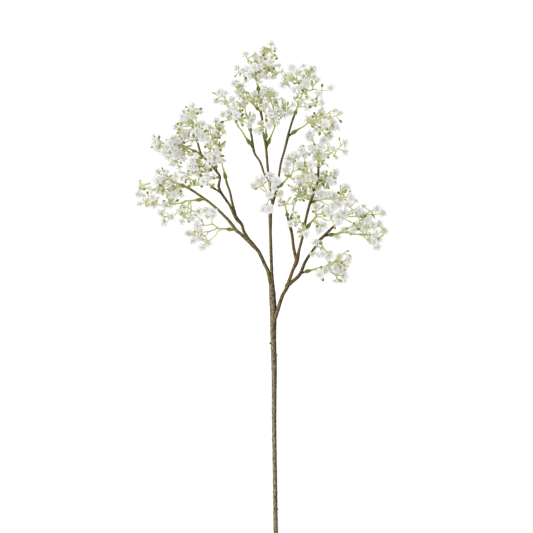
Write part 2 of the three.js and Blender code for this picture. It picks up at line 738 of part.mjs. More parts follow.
/** All the shoots of a spray: each branchlet with its side pedicels. The one most ahead ends the stalk. */
function planSpray(name, plan, stalk, random, thicket) {
  const { fork, direction } = stalk;
  const ahead = ([x, y]) => directionTo(fork, new THREE.Vector3(x, y, fork.z)).dot(direction);
  const tips = [...plan.tips].sort((a, b) => ahead(a) - ahead(b));
  const branchlets = tips.map((tip, index) => planBranchlet(name, plan, tip, index, stalk, random, thicket));
  branchlets.forEach((branchlet, index) => {
    const [, , blooms, buds] = tips[index];
    const sideBlooms = Math.max(blooms - 1, 0);
    const sideHeads = sideBlooms + (blooms ? buds : buds - 1);
    branchlet.pedicels = Array.from({ length: sideHeads }, (_, count) => (
      planPedicel(name, branchlet, count < sideBlooms, random, thicket)));
  });
  return branchlets;
}

// ---- building a spray ----

/** Lays a double bloom: a star of notched petals on the calyx, and an inner whorl round a heart. */
function layBloom(surface, from, { centre, axis }, turn, side) {
  const star = (index) => BLOOM.radius * (index % 2 ? BLOOM.notch : 1);
  const petals = ring(centre, axis, star, 2 * BLOOM.petals, side, turn);
  petals.forEach((point, index) => point.addScaledVector(axis, index % 2 ? 0 : BLOOM.petalLift));
  const inner = along(centre, axis, BLOOM.innerLift);
  surface.extend(from, [
    petals,
    ring(inner, axis, BLOOM.innerRadius, BLOOM.petals, side, (turn + 1) / 2),
    [along(centre, axis, BLOOM.heartLift)],
  ]);
}

/** Lays a pointed bud. */
function layBud(surface, from, { centre, axis }, side) {
  surface.extend(from, [
    ring(along(centre, axis, BUD.belly - BUD.length / 2), axis, BUD.radius, BUD.sides, side),
    [along(centre, axis, BUD.length / 2)],
  ]);
}

/** Lays a node across a stalk at the given place, with its side shoots, and gives back its far ring. */
function layNode(surface, from, place, direction, side, shoots) {
  const across = (offset) => (
    ring(along(place, direction, offset), direction, STALK.radius, STALK.sides, side));
  const low = surface.extend(from, [across(-STALK.node / 2)]);
  const high = surface.lay(across(STALK.node / 2));
  const rims = surface.band(low, high, shoots.map((shoot) => shoot.side));
  rims.forEach((rim, index) => layShoot(surface, rim, shoots[index]));
  return high;
}

/** Lays a shoot from the rim it leaves by: its stretches, its side pedicels and its head. */
function layShoot(surface, rim, shoot) {
  const { points, head, isBloom, turn, pedicels = [] } = shoot;
  const side = acrossShoot(shoot);
  const radii = points.map(() => STALK.radius);
  let last = surface.extend(rim, tubeRings(points, radii, STALK.sides, side).slice(1, -1));
  if (pedicels.length) last = layNode(surface, last, sideNode(shoot), legDirection(shoot), side, pedicels);
  const footRadius = isBloom ? BLOOM.calyxRadius : STALK.radius;
  last = surface.extend(last, [ring(points.at(-1), head.axis, footRadius, STALK.sides, side)]);
  if (isBloom) layBloom(surface, last, head, turn, side);
  else layBud(surface, last, head, side);
}

function buildSpray(stalk, branchlets) {
  const { foot, direction, length, neck, nodes, tip } = stalk;
  const surface = new Surface();
  const side = sideOf(direction);
  const bulge = (share, radius) => (
    ring(along(foot, direction, share * length), direction, radius, SLEEVE.sides, side));
  const base = surface.lay(bulge(0, SLEEVE.root));
  surface.cap(base, true);
  let last = surface.extend(base, [
    bulge(SLEEVE.belly.at, SLEEVE.belly.radius),
    bulge(SLEEVE.shoulder.at, SLEEVE.shoulder.radius),
    ring(neck, direction, STALK.radius, STALK.sides, side),
  ]);
  nodes.forEach((node, index) => {
    const shoots = branchlets.filter((branchlet) => branchlet.node === index);
    if (shoots.length) last = layNode(surface, last, node, direction, side, shoots);
  });
  last = surface.extend(last, [ring(tip, direction, STALK.radius, STALK.sides, side)]);
  layShoot(surface, last, branchlets.at(-1));
  return surface.solid();
}

// ---- the scene graph ----

function meshOf(name, solid, material) {
  const shape = solid.getMesh();
  const geometry = new THREE.BufferGeometry();
  geometry.setAttribute('position', new THREE.BufferAttribute(new Float32Array(shape.vertProperties), 3));
  geometry.setIndex(new THREE.BufferAttribute(new Uint32Array(shape.triVerts), 1));
  geometry.computeVertexNormals();
  const mesh = new THREE.Mesh(geometry, material);
  mesh.name = name;
  return mesh;
}

const bark = new THREE.MeshStandardMaterial({ color: 0x6b5c3e, roughness: 0.9, metalness: 0 });
const flower = new THREE.MeshStandardMaterial({ color: 0xeef0e6, roughness: 0.8, metalness: 0 });

const thicket = new Thicket();
const stem = new THREE.Group();
stem.add(meshOf('woody_stem', growWood(thicket), bark));
const stalks = Object.entries(SPRAYS).map(([name, plan]) => {
  const stalk = planStalk(plan);
  thicket.add(name, stalk);
  return stalk;
});
Object.entries(SPRAYS).forEach(([name, plan], index) => {
  const branchlets = planSpray(name, plan, stalks[index], seeded(plan.seed), thicket);
  const solid = buildSpray(stalks[index], branchlets).trimByPlane([0, 0, 1], 0);
  stem.add(meshOf(`spray_${name}`, solid, flower));
});

// The origin is on the table, under the middle of the whole stem.
const middle = new THREE.Box3().setFromObject(stem).getCenter(new THREE.Vector3());
stem.position.set(-middle.x, -middle.y, 0);

export default stem;
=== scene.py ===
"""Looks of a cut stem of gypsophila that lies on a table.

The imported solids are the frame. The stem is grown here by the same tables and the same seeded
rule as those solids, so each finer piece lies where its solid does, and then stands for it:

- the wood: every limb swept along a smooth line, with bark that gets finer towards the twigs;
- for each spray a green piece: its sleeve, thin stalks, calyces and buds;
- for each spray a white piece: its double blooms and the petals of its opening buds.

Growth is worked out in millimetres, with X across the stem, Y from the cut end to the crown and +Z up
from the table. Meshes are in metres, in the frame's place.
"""

from __future__ import annotations

import logging
import math
from dataclasses import dataclass, field
from enum import Enum
from typing import Callable, NamedTuple

import bmesh
import bpy
import numpy as np
from bpy.types import Collection, Material, Mesh, Node, NodeSocket, NodeTree, Object
from mathutils import Matrix, Quaternion, Vector

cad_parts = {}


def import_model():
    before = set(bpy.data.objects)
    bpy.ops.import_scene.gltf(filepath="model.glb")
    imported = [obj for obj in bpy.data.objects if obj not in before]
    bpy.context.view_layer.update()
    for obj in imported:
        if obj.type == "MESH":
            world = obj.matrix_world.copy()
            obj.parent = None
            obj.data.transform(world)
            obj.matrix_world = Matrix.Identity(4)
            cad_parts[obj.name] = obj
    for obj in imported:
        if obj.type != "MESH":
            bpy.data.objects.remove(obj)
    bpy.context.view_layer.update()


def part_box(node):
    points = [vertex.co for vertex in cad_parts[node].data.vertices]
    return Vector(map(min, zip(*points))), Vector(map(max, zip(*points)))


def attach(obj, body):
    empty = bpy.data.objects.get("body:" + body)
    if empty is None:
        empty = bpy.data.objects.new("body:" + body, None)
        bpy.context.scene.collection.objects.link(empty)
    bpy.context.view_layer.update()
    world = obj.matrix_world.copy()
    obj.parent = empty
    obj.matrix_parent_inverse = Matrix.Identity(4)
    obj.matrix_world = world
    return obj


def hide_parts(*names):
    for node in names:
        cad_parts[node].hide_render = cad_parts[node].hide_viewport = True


LOG = logging.getLogger("gypsophila")

Array = np.ndarray
Pair = tuple[float, float]
Triple = tuple[float, float, float]
Profile = tuple[Pair, ...]
MM = 0.001  # metres in a millimetre
UP = np.array((0.0, 0.0, 1.0))
FACE_DOWN = -0.9  # a head whose axis rises less than this lies on its face


# ---- the stem's growth tables ----


@dataclass(frozen=True)
class Limb:
    """A limb of the wood.

    age is how old its bark is at its foot and at its tip, from 0 to 1; line is its centreline, as
    x, y, z and radius.
    """

    age: Pair
    line: tuple[tuple[float, float, float, float], ...]


class Tip(NamedTuple):
    """The end of a branchlet: where it lies, and how many blooms and buds it carries."""

    x: float
    y: float
    blooms: int = 1
    buds: int = 0
    face_down: bool = False


@dataclass(frozen=True)
class Spray:
    """A spray of the plan.

    source is where it springs from the wood, fork is where its stalk forks, spread is how far its heads
    stray in height, and tips has the values of a Tip for each branchlet. share is how many small blooms
    and buds fill it, against the usual number, and towards is where most of them gather, across and up.
    """

    source: Triple
    fork: Triple
    spread: float
    seed: int
    tips: tuple[tuple, ...]
    share: float = 1
    towards: Pair | None = None


LIMBS = {
    "trunk": Limb((1, 0.9), (
        (1, -3, 2.1, 2.6), (0, 70, 10, 2.6), (-1, 144, 19, 2.7), (-1, 205, 27, 2.9), (-2, 242, 32, 3.2),
        (-2, 272, 37, 3.8), (-3, 292, 40, 3.9), (-4, 307, 42, 3.3),
    )),
    "left": Limb((0.62, 0.5), (
        (-3, 298, 41, 2.8), (-8, 321, 45, 2.2), (-12, 330, 46, 2.1), (-19, 345, 48, 2.1),
        (-23, 350, 49, 2.2), (-28, 355.5, 50, 2.8), (-31, 360, 50.5, 2),
    )),
    "left_lower": Limb((0.5, 0.2), (
        (-28, 355, 50, 2.1), (-42, 368, 48, 1.9), (-47, 372, 47, 2.1), (-57, 385, 43, 1.7),
        (-76, 403, 37, 1.5), (-94, 416, 35, 1.4), (-103, 422, 35, 1.5),
    )),
    "left_upper": Limb((0.5, 0.1), (
        (-28, 355, 50, 2.1), (-37, 369.5, 56, 1.8), (-40, 378.5, 60, 1.8), (-46.5, 386.5, 64, 2.3),
        (-54, 401, 70, 1.6), (-63.5, 415, 74, 1.5), (-67.5, 424, 76, 1.6), (-66, 435, 78, 1.4),
        (-70, 442, 79, 1.5), (-81, 455, 80, 1.3), (-88.5, 462, 80, 1.5), (-93, 477, 80, 1.2),
        (-97, 482.5, 80, 1.3),
    )),
    "left_upper_twig": Limb((0.3, 0.1), (
        (-46.5, 386.5, 64, 1.6), (-51.5, 405.5, 64, 1.4), (-54, 417.5, 62, 1.3), (-57.5, 427, 59, 1.3),
    )),
    "left_strand": Limb((0.2, 0.05), (
        (-58, 406, 72, 1.2), (-61, 412, 79, 1.1), (-68, 418.5, 87, 1), (-72, 421, 91, 1.1),
    )),
    "centre": Limb((0.62, 0.42), (
        (-3, 298, 41, 2.6), (-4, 324, 45, 1.9), (-5, 354, 50, 1.8), (-5.5, 372, 52, 1.8),
        (-5.5, 395, 56, 2.3), (-4, 400, 57, 1.7), (-2.5, 407, 58, 2.2),
    )),
    "crown": Limb((0.42, 0.1), (
        (-2.5, 406, 58, 1.8), (-5.5, 416, 60, 1.5), (-6.5, 430, 62, 1.6), (-8.5, 444, 64, 1.4),
        (-10.5, 468, 66, 1.5), (-11.5, 477, 66.5, 1.6), (-15, 492, 67, 1.3), (-15.5, 505, 68, 1.4),
        (-17, 514, 68, 1.5), (-18.5, 533, 68, 1.3),
    )),
    "crown_left": Limb((0.3, 0.1), (
        (-6.5, 430, 62, 1.4), (-13, 440, 60, 1.2), (-15.5, 447.5, 58, 1.3), (-18.5, 455, 56, 1.2),
        (-24, 463, 53, 1.3), (-26, 470, 51, 1.5), (-28, 484, 48, 1.2),
    )),
    "crown_right": Limb((0.42, 0.1), (
        (-2.5, 406, 58, 1.8), (1.5, 419, 61, 1.5), (4, 432, 64, 1.3), (7, 452, 69, 1.3),
        (11.5, 468, 74, 1.4), (15.5, 484, 78, 1.6), (18, 494, 81, 1.2), (21.5, 505, 85, 1.3),
    )),
    "right": Limb((0.62, 0.5), (
        (-2.6, 250, 36, 1.2), (-1.6, 259, 38.2, 1.8), (1.5, 270, 39.8, 2.2), (8.5, 292, 42.5, 2.1),
        (13.5, 301, 44, 2.1), (14.5, 304.5, 45, 2.8), (17, 309, 46, 2),
    )),
    "right_middle": Limb((0.5, 0.15), (
        (14.5, 304.5, 45, 2.1), (18, 314, 48, 1.9), (21.5, 324, 51, 1.9), (26, 334.5, 54, 2.5),
        (29, 348, 59, 1.6), (33.5, 366, 65, 1.7), (37, 385, 70, 1.5), (42, 404.5, 74, 1.6),
        (47, 418, 77, 1.4), (50.5, 429, 79, 1.5), (52, 443, 82, 1.4),
    )),
    "right_inner": Limb((0.45, 0.2), (
        (26, 334.5, 54, 2), (22.5, 350, 54, 1.8), (20.5, 366, 52, 1.7), (18, 377, 50, 1.9),
        (16, 383, 48, 1.5),
    )),
    "right_outer": Limb((0.5, 0.2), (
        (14.5, 304.5, 45, 2.1), (22, 311, 46, 2), (30, 319, 44, 2), (37, 335, 40, 1.7),
        (47, 349.5, 36, 1.7), (53, 359, 34, 1.8), (60, 366, 32, 1.7), (70, 376, 30, 1.4),
    )),
}

SPRAYS = {
    "left_low": Spray((-47, 372, 47), (-66, 374, 36), 16, 1, (
        (-85, 394, 2), (-93, 379, 2, 1), (-106, 366, 3), (-92, 363, 2, 1), (-88, 352, 2),
    ), 0.4, (-96, 372)),
    "left_hanging": Spray((-84, 409, 36.3), (-107, 407, 17), 9, 2, (
        (-146, 403, 2, 0, True), (-137, 392, 2, 0, True), (-132, 402, 1, 1), (-125, 389),
        (-112, 382, 1, 1), (-101, 390, 2),
    ), 0.9, (-116, 412)),
    "left_tip": Spray((-103, 422, 35), (-121, 430, 28), 14, 2, (
        (-165, 420, 2, 0, True), (-163, 403), (-140, 420, 1, 1), (-121, 419, 2, 1), (-141, 431, 3, 1),
        (-141, 442, 2, 1),
    ), 1.4, (-118, 424)),
    "left_inner_low": Spray((-66, 435, 78), (-85, 435, 63), 18, 1, (
        (-96, 448, 1, 1), (-82, 447), (-111, 441, 0, 2),
    ), 2.4),
    "left_inner_tip": Spray((-72, 421, 91), (-79, 426, 98), 10, 1, (
        (-86, 431, 1, 1), (-97, 427, 0, 1),
    ), 2, (-78, 440)),
    "left_mid": Spray((-88.5, 462, 80), (-107, 472, 72), 18, 15, (
        (-143, 477, 2), (-133, 465, 2), (-131, 474), (-115, 474, 2, 1), (-119, 461, 2, 1),
        (-121, 483, 1, 1), (-124, 452, 1, 1),
    ), 1.8),
    "left_crown": Spray((-97, 482.5, 80), (-98, 491, 84), 20, 4, (
        (-98, 520, 1, 1), (-100, 513, 2, 1), (-112, 506, 1, 1), (-119, 498, 2, 1), (-109, 490),
        (-95, 491, 2), (-85, 482),
    ), 1.4, (-94, 484)),
    "left_upper_inner": Spray((-70, 442, 79), (-73, 459, 97), 16, 1, (
        (-83, 482, 0, 1), (-80, 472, 1, 1), (-98, 456, 2), (-70, 463, 1, 1),
    ), 2.2, (-72, 450)),
    "left_upper_outer": Spray((-57.5, 427, 59), (-64, 454, 56), 16, 2, (
        (-71, 503), (-79, 495, 2, 1), (-67, 474, 0, 2),
    ), 2, (-66, 496)),
    "crown_tip": Spray((-18.5, 533, 68), (-22, 552, 68), 26, 8, (
        (-4, 595, 1, 1), (-13, 590), (2, 578, 0, 1), (-35, 583), (-22, 581), (-46, 566, 1, 1), (-37, 565),
        (-5, 574, 2, 1), (-14, 569, 2), (-25, 567, 3, 1),
    ), 2, (-14, 548)),
    "crown_left": Spray((-17, 514, 68), (-26, 522, 78), 16, 1, (
        (-50, 547), (-37, 547), (-42, 532), (-25, 533, 1, 1),
    ), 2.2, (-48, 556)),
    "crown_low_left": Spray((-28, 484, 48), (-33, 509, 44), 14, 1, (
        (-38, 526, 1, 1), (-49, 519, 2), (-30, 504),
    ), 1.5),
    "crown_far_left": Spray((-26, 470, 51), (-46, 499, 60), 20, 1, (
        (-67, 539, 2), (-50, 529), (-60, 526), (-62, 511), (-55, 512), (-48, 510, 1, 2),
    ), 0.7),
    "crown_mid": Spray((-11.5, 477, 66.5), (-10, 502, 88), 18, 1, (
        (-13, 534, 0, 1), (-13, 520, 1, 1), (-19, 492), (-8, 496, 1, 1),
    ), 2.2, (-4, 545)),
    "crown_mid_right": Spray((-10.7, 470, 66.1), (1, 499, 50), 20, 6, (
        (-6, 540, 3), (-1, 528), (13, 522, 2), (10, 511), (-2, 511, 1, 1),
    ), 2.6, (4, 546)),
    "crown_right_tip": Spray((21.5, 505, 85), (28, 522, 82), 30, 1, (
        (67, 542), (52, 550, 1, 1), (56, 526, 2, 1), (43, 567, 2, 1), (36, 547, 1, 1), (26, 560, 1, 1),
        (19, 565), (11, 556, 1, 1), (19, 554), (25, 541), (38, 521), (23, 530, 0, 2),
    ), 1.2, (8, 550)),
    "crown_right_side": Spray((15.5, 484, 78), (40, 501, 66), 22, 5, (
        (78, 511), (71, 516), (73, 494, 2), (68, 485, 2), (62, 499, 2, 1), (56, 512, 1, 1),
        (48, 503, 2, 1),
    ), 0.7, (72, 490)),
    "middle_right": Spray((2, 421, 61.5), (19, 437, 84), 14, 1, (
        (16, 458), (25, 460), (30, 448, 2), (24, 433, 0, 1), (13, 443, 1, 1),
    ), 0.7, (26, 452)),
    "middle_fork": Spray((-2.5, 407, 58), (-6, 412, 72), 14, 3, (
        (-25, 427), (-18, 432), (-6, 437, 2), (-14, 398, 2), (-6, 413), (6, 415),
    ), 0.3, (-14, 398)),
    "right_low": Spray((30.5, 320, 43.8), (52, 326, 34), 18, 4, (
        (83, 311), (82, 317, 1, 1), (83, 329, 3), (86, 337), (72, 326, 1, 1), (62, 320, 2),
        (88, 347, 0, 1),
    ), 0.9, (78, 322)),
    "right_inner_drop": Spray((53, 359, 34), (57, 353, 50), 12, 2, (
        (54, 343, 2, 1), (66, 342, 2),
    ), 0.5, (74, 336)),
    "right_reach": Spray((59, 365, 32.3), (84, 369, 18), 9, 2, (
        (132, 371, 2, 0, True), (124, 361, 2, 1, True), (118, 377), (111, 373, 2, 1), (102, 380, 1, 1),
        (119, 358), (74, 366),
    ), 0.8, (96, 372)),
    "right_tip": Spray((70, 376, 30), (79, 383, 31), 14, 6, (
        (132, 386, 1, 0, True), (122, 397), (112, 384), (100, 397, 2, 1), (84, 392, 1, 2), (75, 387),
    ), 0.8, (108, 388)),
    "right_upright_low": Spray((34, 369, 65.8), (50, 390, 60), 16, 1, (
        (76, 382), (64, 394), (58, 376, 1, 1), (49, 400),
    )),
    "right_upright_drop": Spray((34.5, 372, 66.6), (35, 379, 84), 12, 5, (
        (25, 383), (39, 367, 1, 1),
    ), 2, (24, 386)),
    "right_inner_tip": Spray((18, 377, 50), (24, 408, 44), 16, 3, (
        (34, 436), (31, 429, 2), (34, 422, 0, 2), (44, 418, 1, 1),
    ), 1.6),
    "right_inner_fork": Spray((16, 383, 48), (13, 399, 52), 8, 1, (
        (6, 415), (11, 406, 0, 1),
    ), 1.5),
    "right_upper_side": Spray((50.5, 429, 79), (58, 433, 70), 12, 2, (
        (66, 432, 1, 1), (73, 440, 2, 1),
    ), 2.5, (52, 434)),
    "right_crown": Spray((52, 443, 82), (52, 451, 86), 22, 14, (
        (83, 476), (71, 468), (60, 460, 1, 1), (54, 470, 1, 1), (44, 483, 2), (44, 467, 2), (49, 460),
        (32, 468, 1, 1),
    )),
    "right_crown_left": Spray((47, 418, 77), (41, 427, 93), 14, 2, (
        (34, 461), (44, 451), (36, 449, 0, 2), (46, 434),
    ), 1.8, (47, 412)),
    "right_mid": Spray((42, 404.5, 74), (52, 408, 60), 18, 5, (
        (90, 412, 1, 1), (84, 418, 1, 1), (72, 413), (71, 399, 2), (56, 415),
    )),
}

KNOBS = ((-5.4, 236, 32.5, 1.5), (1.9, 222, 31, 1.3), (3, 36, 6.6, 1.2), (-3.5, 120, 17.2, 0.8))


@dataclass(frozen=True)
class Habit:
    """The sizes and angles that the solids of the sprays are grown by."""

    seat_gap: float = 0.3
    clearance: float = 0.7
    kin_clearance: float = 0.15
    table_clearance: float = 1.6
    stub_length: float = 5
    stub_share: float = 0.35
    stub_radius: float = 1.25
    sleeve_length: float = 12
    sleeve_share: float = 0.6
    sleeve_radius: float = 2.1
    stalk_radius: float = 0.7
    stalk_sides: int = 3
    node_step: float = 1.8
    longest_straight: float = 16
    bow: float = 0.08
    node_behind_head: float = 5.5
    free_after: float = 2.8
    free_share: float = 0.2
    pedicel_reach: Pair = (7.5, 12)
    bud_reach: float = 0.7
    facing_side: float = 0.5
    facing_head: float = 0.62
    rise_least: float = 1.4
    rise_by: float = 0.45
    node_pull: float = 0.08
    stray: float = 1.6
    branchlet_aim: Triple = (0.7, 0.35, 0.45)
    pedicel_aim: Triple = (0.75, 0.25, 0.35)
    bloom_radius: float = 4.7
    bloom_margin: float = 0.1
    calyx_depth: float = 2.7
    bud_length: float = 4.4
    bud_radius: float = 1.45
    pressed_height: float = 1.6
    droop: float = 9
    drift: float = 8
    tries: int = 600
    least_bend: float = 0.05
    along_x: float = 0.8


HABIT = Habit()


# ---- vectors and random draws ----


class Draws:
    """A seeded run of numbers, the same as the solids were grown with."""

    mask = 0xFFFFFFFF
    stride = 0x6D2B79F5

    def __init__(self, seed: int) -> None:
        """Starts the run at a seed."""
        self.state = seed & self.mask

    def next(self) -> float:
        """Moves the run on.

        Returns:
            the next number, from 0 to 1.
        """
        self.state = (self.state + self.stride) & self.mask
        mixed = ((self.state ^ (self.state >> 15)) * (self.state | 1)) & self.mask
        mixed ^= (mixed + (mixed ^ (mixed >> 7)) * (mixed | 61)) & self.mask
        return (mixed ^ (mixed >> 14)) / (self.mask + 1)

    def scatter(self) -> Array:
        """Returns a vector with each part from -1 to 1."""
        return np.array([2 * self.next() - 1 for _ in range(3)])

    def between(self, low: float, high: float) -> float:
        """Returns a number from low to high."""
        return low + (high - low) * self.next()


def point(*values: float) -> Array:
    """Returns a point or vector of floats."""
    return np.array(values, dtype=float)


def unit(vector: Array) -> Array:
    """Returns the vector at length 1, or as it is where it has no length."""
    length = math.sqrt(vector @ vector)
    return vector / length if length else vector


def distance(start: Array, end: Array) -> float:
    """Returns the distance between two points."""
    step = end - start
    return math.sqrt(step @ step)


def between(ends: Pair, share: float) -> float:
    """Returns the number a share of the way from the first of two to the second."""
    return ends[0] + (ends[1] - ends[0]) * share


def side_of(direction: Array) -> Array:
    """Returns a vector that stays clear of the direction, to measure sides from."""
    return UP if abs(direction[0]) > HABIT.along_x else point(1, 0, 0)


def sides_round(direction: Array, side: Array) -> list[Array]:
    """Finds the ways that the flat sides of a solid's stalk face.

    Args:
        direction: the way the stalk goes.
        side: where its first edge lies, across that way.

    Returns:
        a unit vector for each side.
    """
    across = unit(side - direction * (side @ direction))
    other = np.cross(direction, across)
    angles = [math.tau * (index + 0.5) / HABIT.stalk_sides for index in range(HABIT.stalk_sides)]
    return [across * math.cos(angle) + other * math.sin(angle) for angle in angles]


def segment_gaps(start: Array, end: Array, starts: Array, ends: Array) -> Array:
    """Measures how near one segment comes to several others.

    Args:
        start: where the segment starts.
        end: where it ends.
        starts: where the others start, one a row.
        ends: where they end.

    Returns:
        the least distance to each of the others.
    """
    tiny = 1e-9
    a, b = end - start, ends - starts
    gap = start - starts
    aa = max(a @ a, tiny)
    bb = np.maximum((b * b).sum(axis=1), tiny)
    ab, ag, bg = b @ a, gap @ a, (b * gap).sum(axis=1)
    spread = aa * bb - ab * ab
    crossing = spread > tiny
    s = np.where(crossing, np.clip((ab * bg - ag * bb) / np.where(crossing, spread, 1), 0, 1), 0)
    t = np.clip((ab * s + bg) / bb, 0, 1)
    s = np.clip((ab * t - ag) / aa, 0, 1)
    apart = gap + s[:, None] * a - t[:, None] * b
    return np.sqrt((apart * apart).sum(axis=1))


# ---- room to grow ----


@dataclass
class Rod:
    """A round-ended rod that stands for a stretch of stem, or for a head."""

    start: Array
    end: Array
    radius: float
    is_head: bool = False
    free_after: float = 0

    def free_start(self) -> Array:
        """Finds the place from which the rod counts against shoots of its own spray.

        Returns:
            the place, which is the rod's end where it is too short to count.
        """
        length = distance(self.start, self.end)
        if length <= self.free_after:
            return self.end
        return self.start + (self.end - self.start) * (self.free_after / length)


@dataclass(eq=False)
class Shoot:
    """A branchlet or pedicel with its head.

    points run from its root to the foot of its head, node and side say by which it left its carrier,
    and used holds the nodes and sides by which its own shoots leave it.
    """

    points: list[Array]
    centre: Array
    axis: Array
    is_bloom: bool
    node: int | None = None
    side: int | None = None
    used: list[tuple[int | None, int | None]] = field(default_factory=list)
    pedicels: list[Shoot] = field(default_factory=list)

    def leg(self) -> Array:
        """Returns the direction of the last stretch."""
        return unit(self.points[-1] - self.points[-2])

    def across(self) -> Array:
        """Returns a vector across all the stretches."""
        across = np.cross(unit(self.points[1] - self.points[0]), self.leg())
        return unit(across) if math.sqrt(across @ across) > HABIT.least_bend else side_of(self.leg())

    def side_node(self) -> Array:
        """Returns the place near the head where the side pedicels leave."""
        before, foot = self.points[-2:]
        return foot + (before - foot) * min(HABIT.node_behind_head / distance(before, foot), 0.5)


@dataclass(eq=False)
class Stalk:
    """The sleeve of a spray and the stalk that goes on from it."""

    foot: Array
    direction: Array
    length: float
    neck: Array
    fork: Array
    nodes: list[Array]
    tip: Array
    used: list[tuple[int | None, int | None]] = field(default_factory=list)


class Thicket:
    """Everything grown so far, so that new growth can keep clear of it."""

    columns = ("owner", "shoot", "start", "end", "free", "radius", "head", "length")

    def __init__(self) -> None:
        """Starts with nothing grown."""
        self.rows: list[tuple] = []
        self.grown: dict[str, Array] = {}

    def add(self, owner: str, shoot: object, rods: list[Rod]) -> None:
        """Adds the rods of new growth.

        Args:
            owner: the spray that they belong to, or the wood.
            shoot: the shoot or stalk that they are part of.
            rods: the rods.
        """
        for rod in rods:
            place = (rod.start, rod.end, rod.free_start())
            length = distance(rod.start, rod.end)
            self.rows.append((owner, id(shoot), *place, rod.radius, rod.is_head, length))
        self.grown = {name: np.array(values) for name, values in zip(self.columns, zip(*self.rows))}

    def is_clear(self, owner: str, rods: list[Rod], table: float, carrier: object) -> bool:
        """Says whether rods keep clear of the table and of everything grown so far.

        Args:
            owner: the spray that the rods belong to.
            rods: the rods of the new shoot.
            table: the least height above the table.
            carrier: the shoot or stalk that the new shoot leaves from.

        Returns:
            whether all of them do.
        """
        for rod in rods:
            if min(rod.start[2], rod.end[2]) - rod.radius < table:
                return False
            kin = self.grown["owner"] == owner
            least = rod.radius + self.grown["radius"] + np.where(kin, HABIT.kin_clearance, HABIT.clearance)
            apart = np.sqrt(((rod.start - self.grown["start"]) ** 2).sum(axis=1))
            close = apart - distance(rod.start, rod.end) - self.grown["length"] <= least
            near = {name: values[close] for name, values in self.grown.items()}
            whole = ~kin[close] | rod.is_head | near["head"]
            sibling = ~whole & (near["shoot"] != id(carrier))
            counted = (
                (whole, rod.start, near["start"]),
                (~whole, rod.free_start(), near["start"]),
                (sibling, rod.start, near["free"]),
            )
            for counts, start, starts in counted:
                gaps = segment_gaps(start, rod.end, starts, near["end"])
                if (gaps <= least[close])[counts].any():
                    return False
        return True


# ---- growing the sprays ----


def stub_of(spray: Spray) -> tuple[Array, Array, Array]:
    """Finds the woody stub that a spray sits on.

    Args:
        spray: the spray's plan.

    Returns:
        the stub's start, direction and end.
    """
    source, fork = point(*spray.source), point(*spray.fork)
    direction = unit(fork - source)
    length = min(HABIT.stub_length, HABIT.stub_share * distance(source, fork))
    return source, direction, source + direction * length


def aim(onward: Array, lean: Array, shares: Triple) -> Array:
    """Returns the way a head points: on from its shoot, leaning to one side, and up to the light."""
    return unit(onward * shares[0] + lean * shares[1] + UP * shares[2])


def facing(root: Array, target: Array, direction: Array, normal: Array) -> float:
    """Says how well a shoot faces one side of its carrier.

    Args:
        root: where the shoot leaves.
        target: where it goes.
        direction: the way the carrier goes.
        normal: the way the side faces.

    Returns:
        a number up to 1, or -1 where the shoot would run along the side.
    """
    course = target - root
    if HABIT.rise_by * (course @ normal) < HABIT.rise_least:
        return -1
    return unit(course - direction * (course @ direction)) @ normal


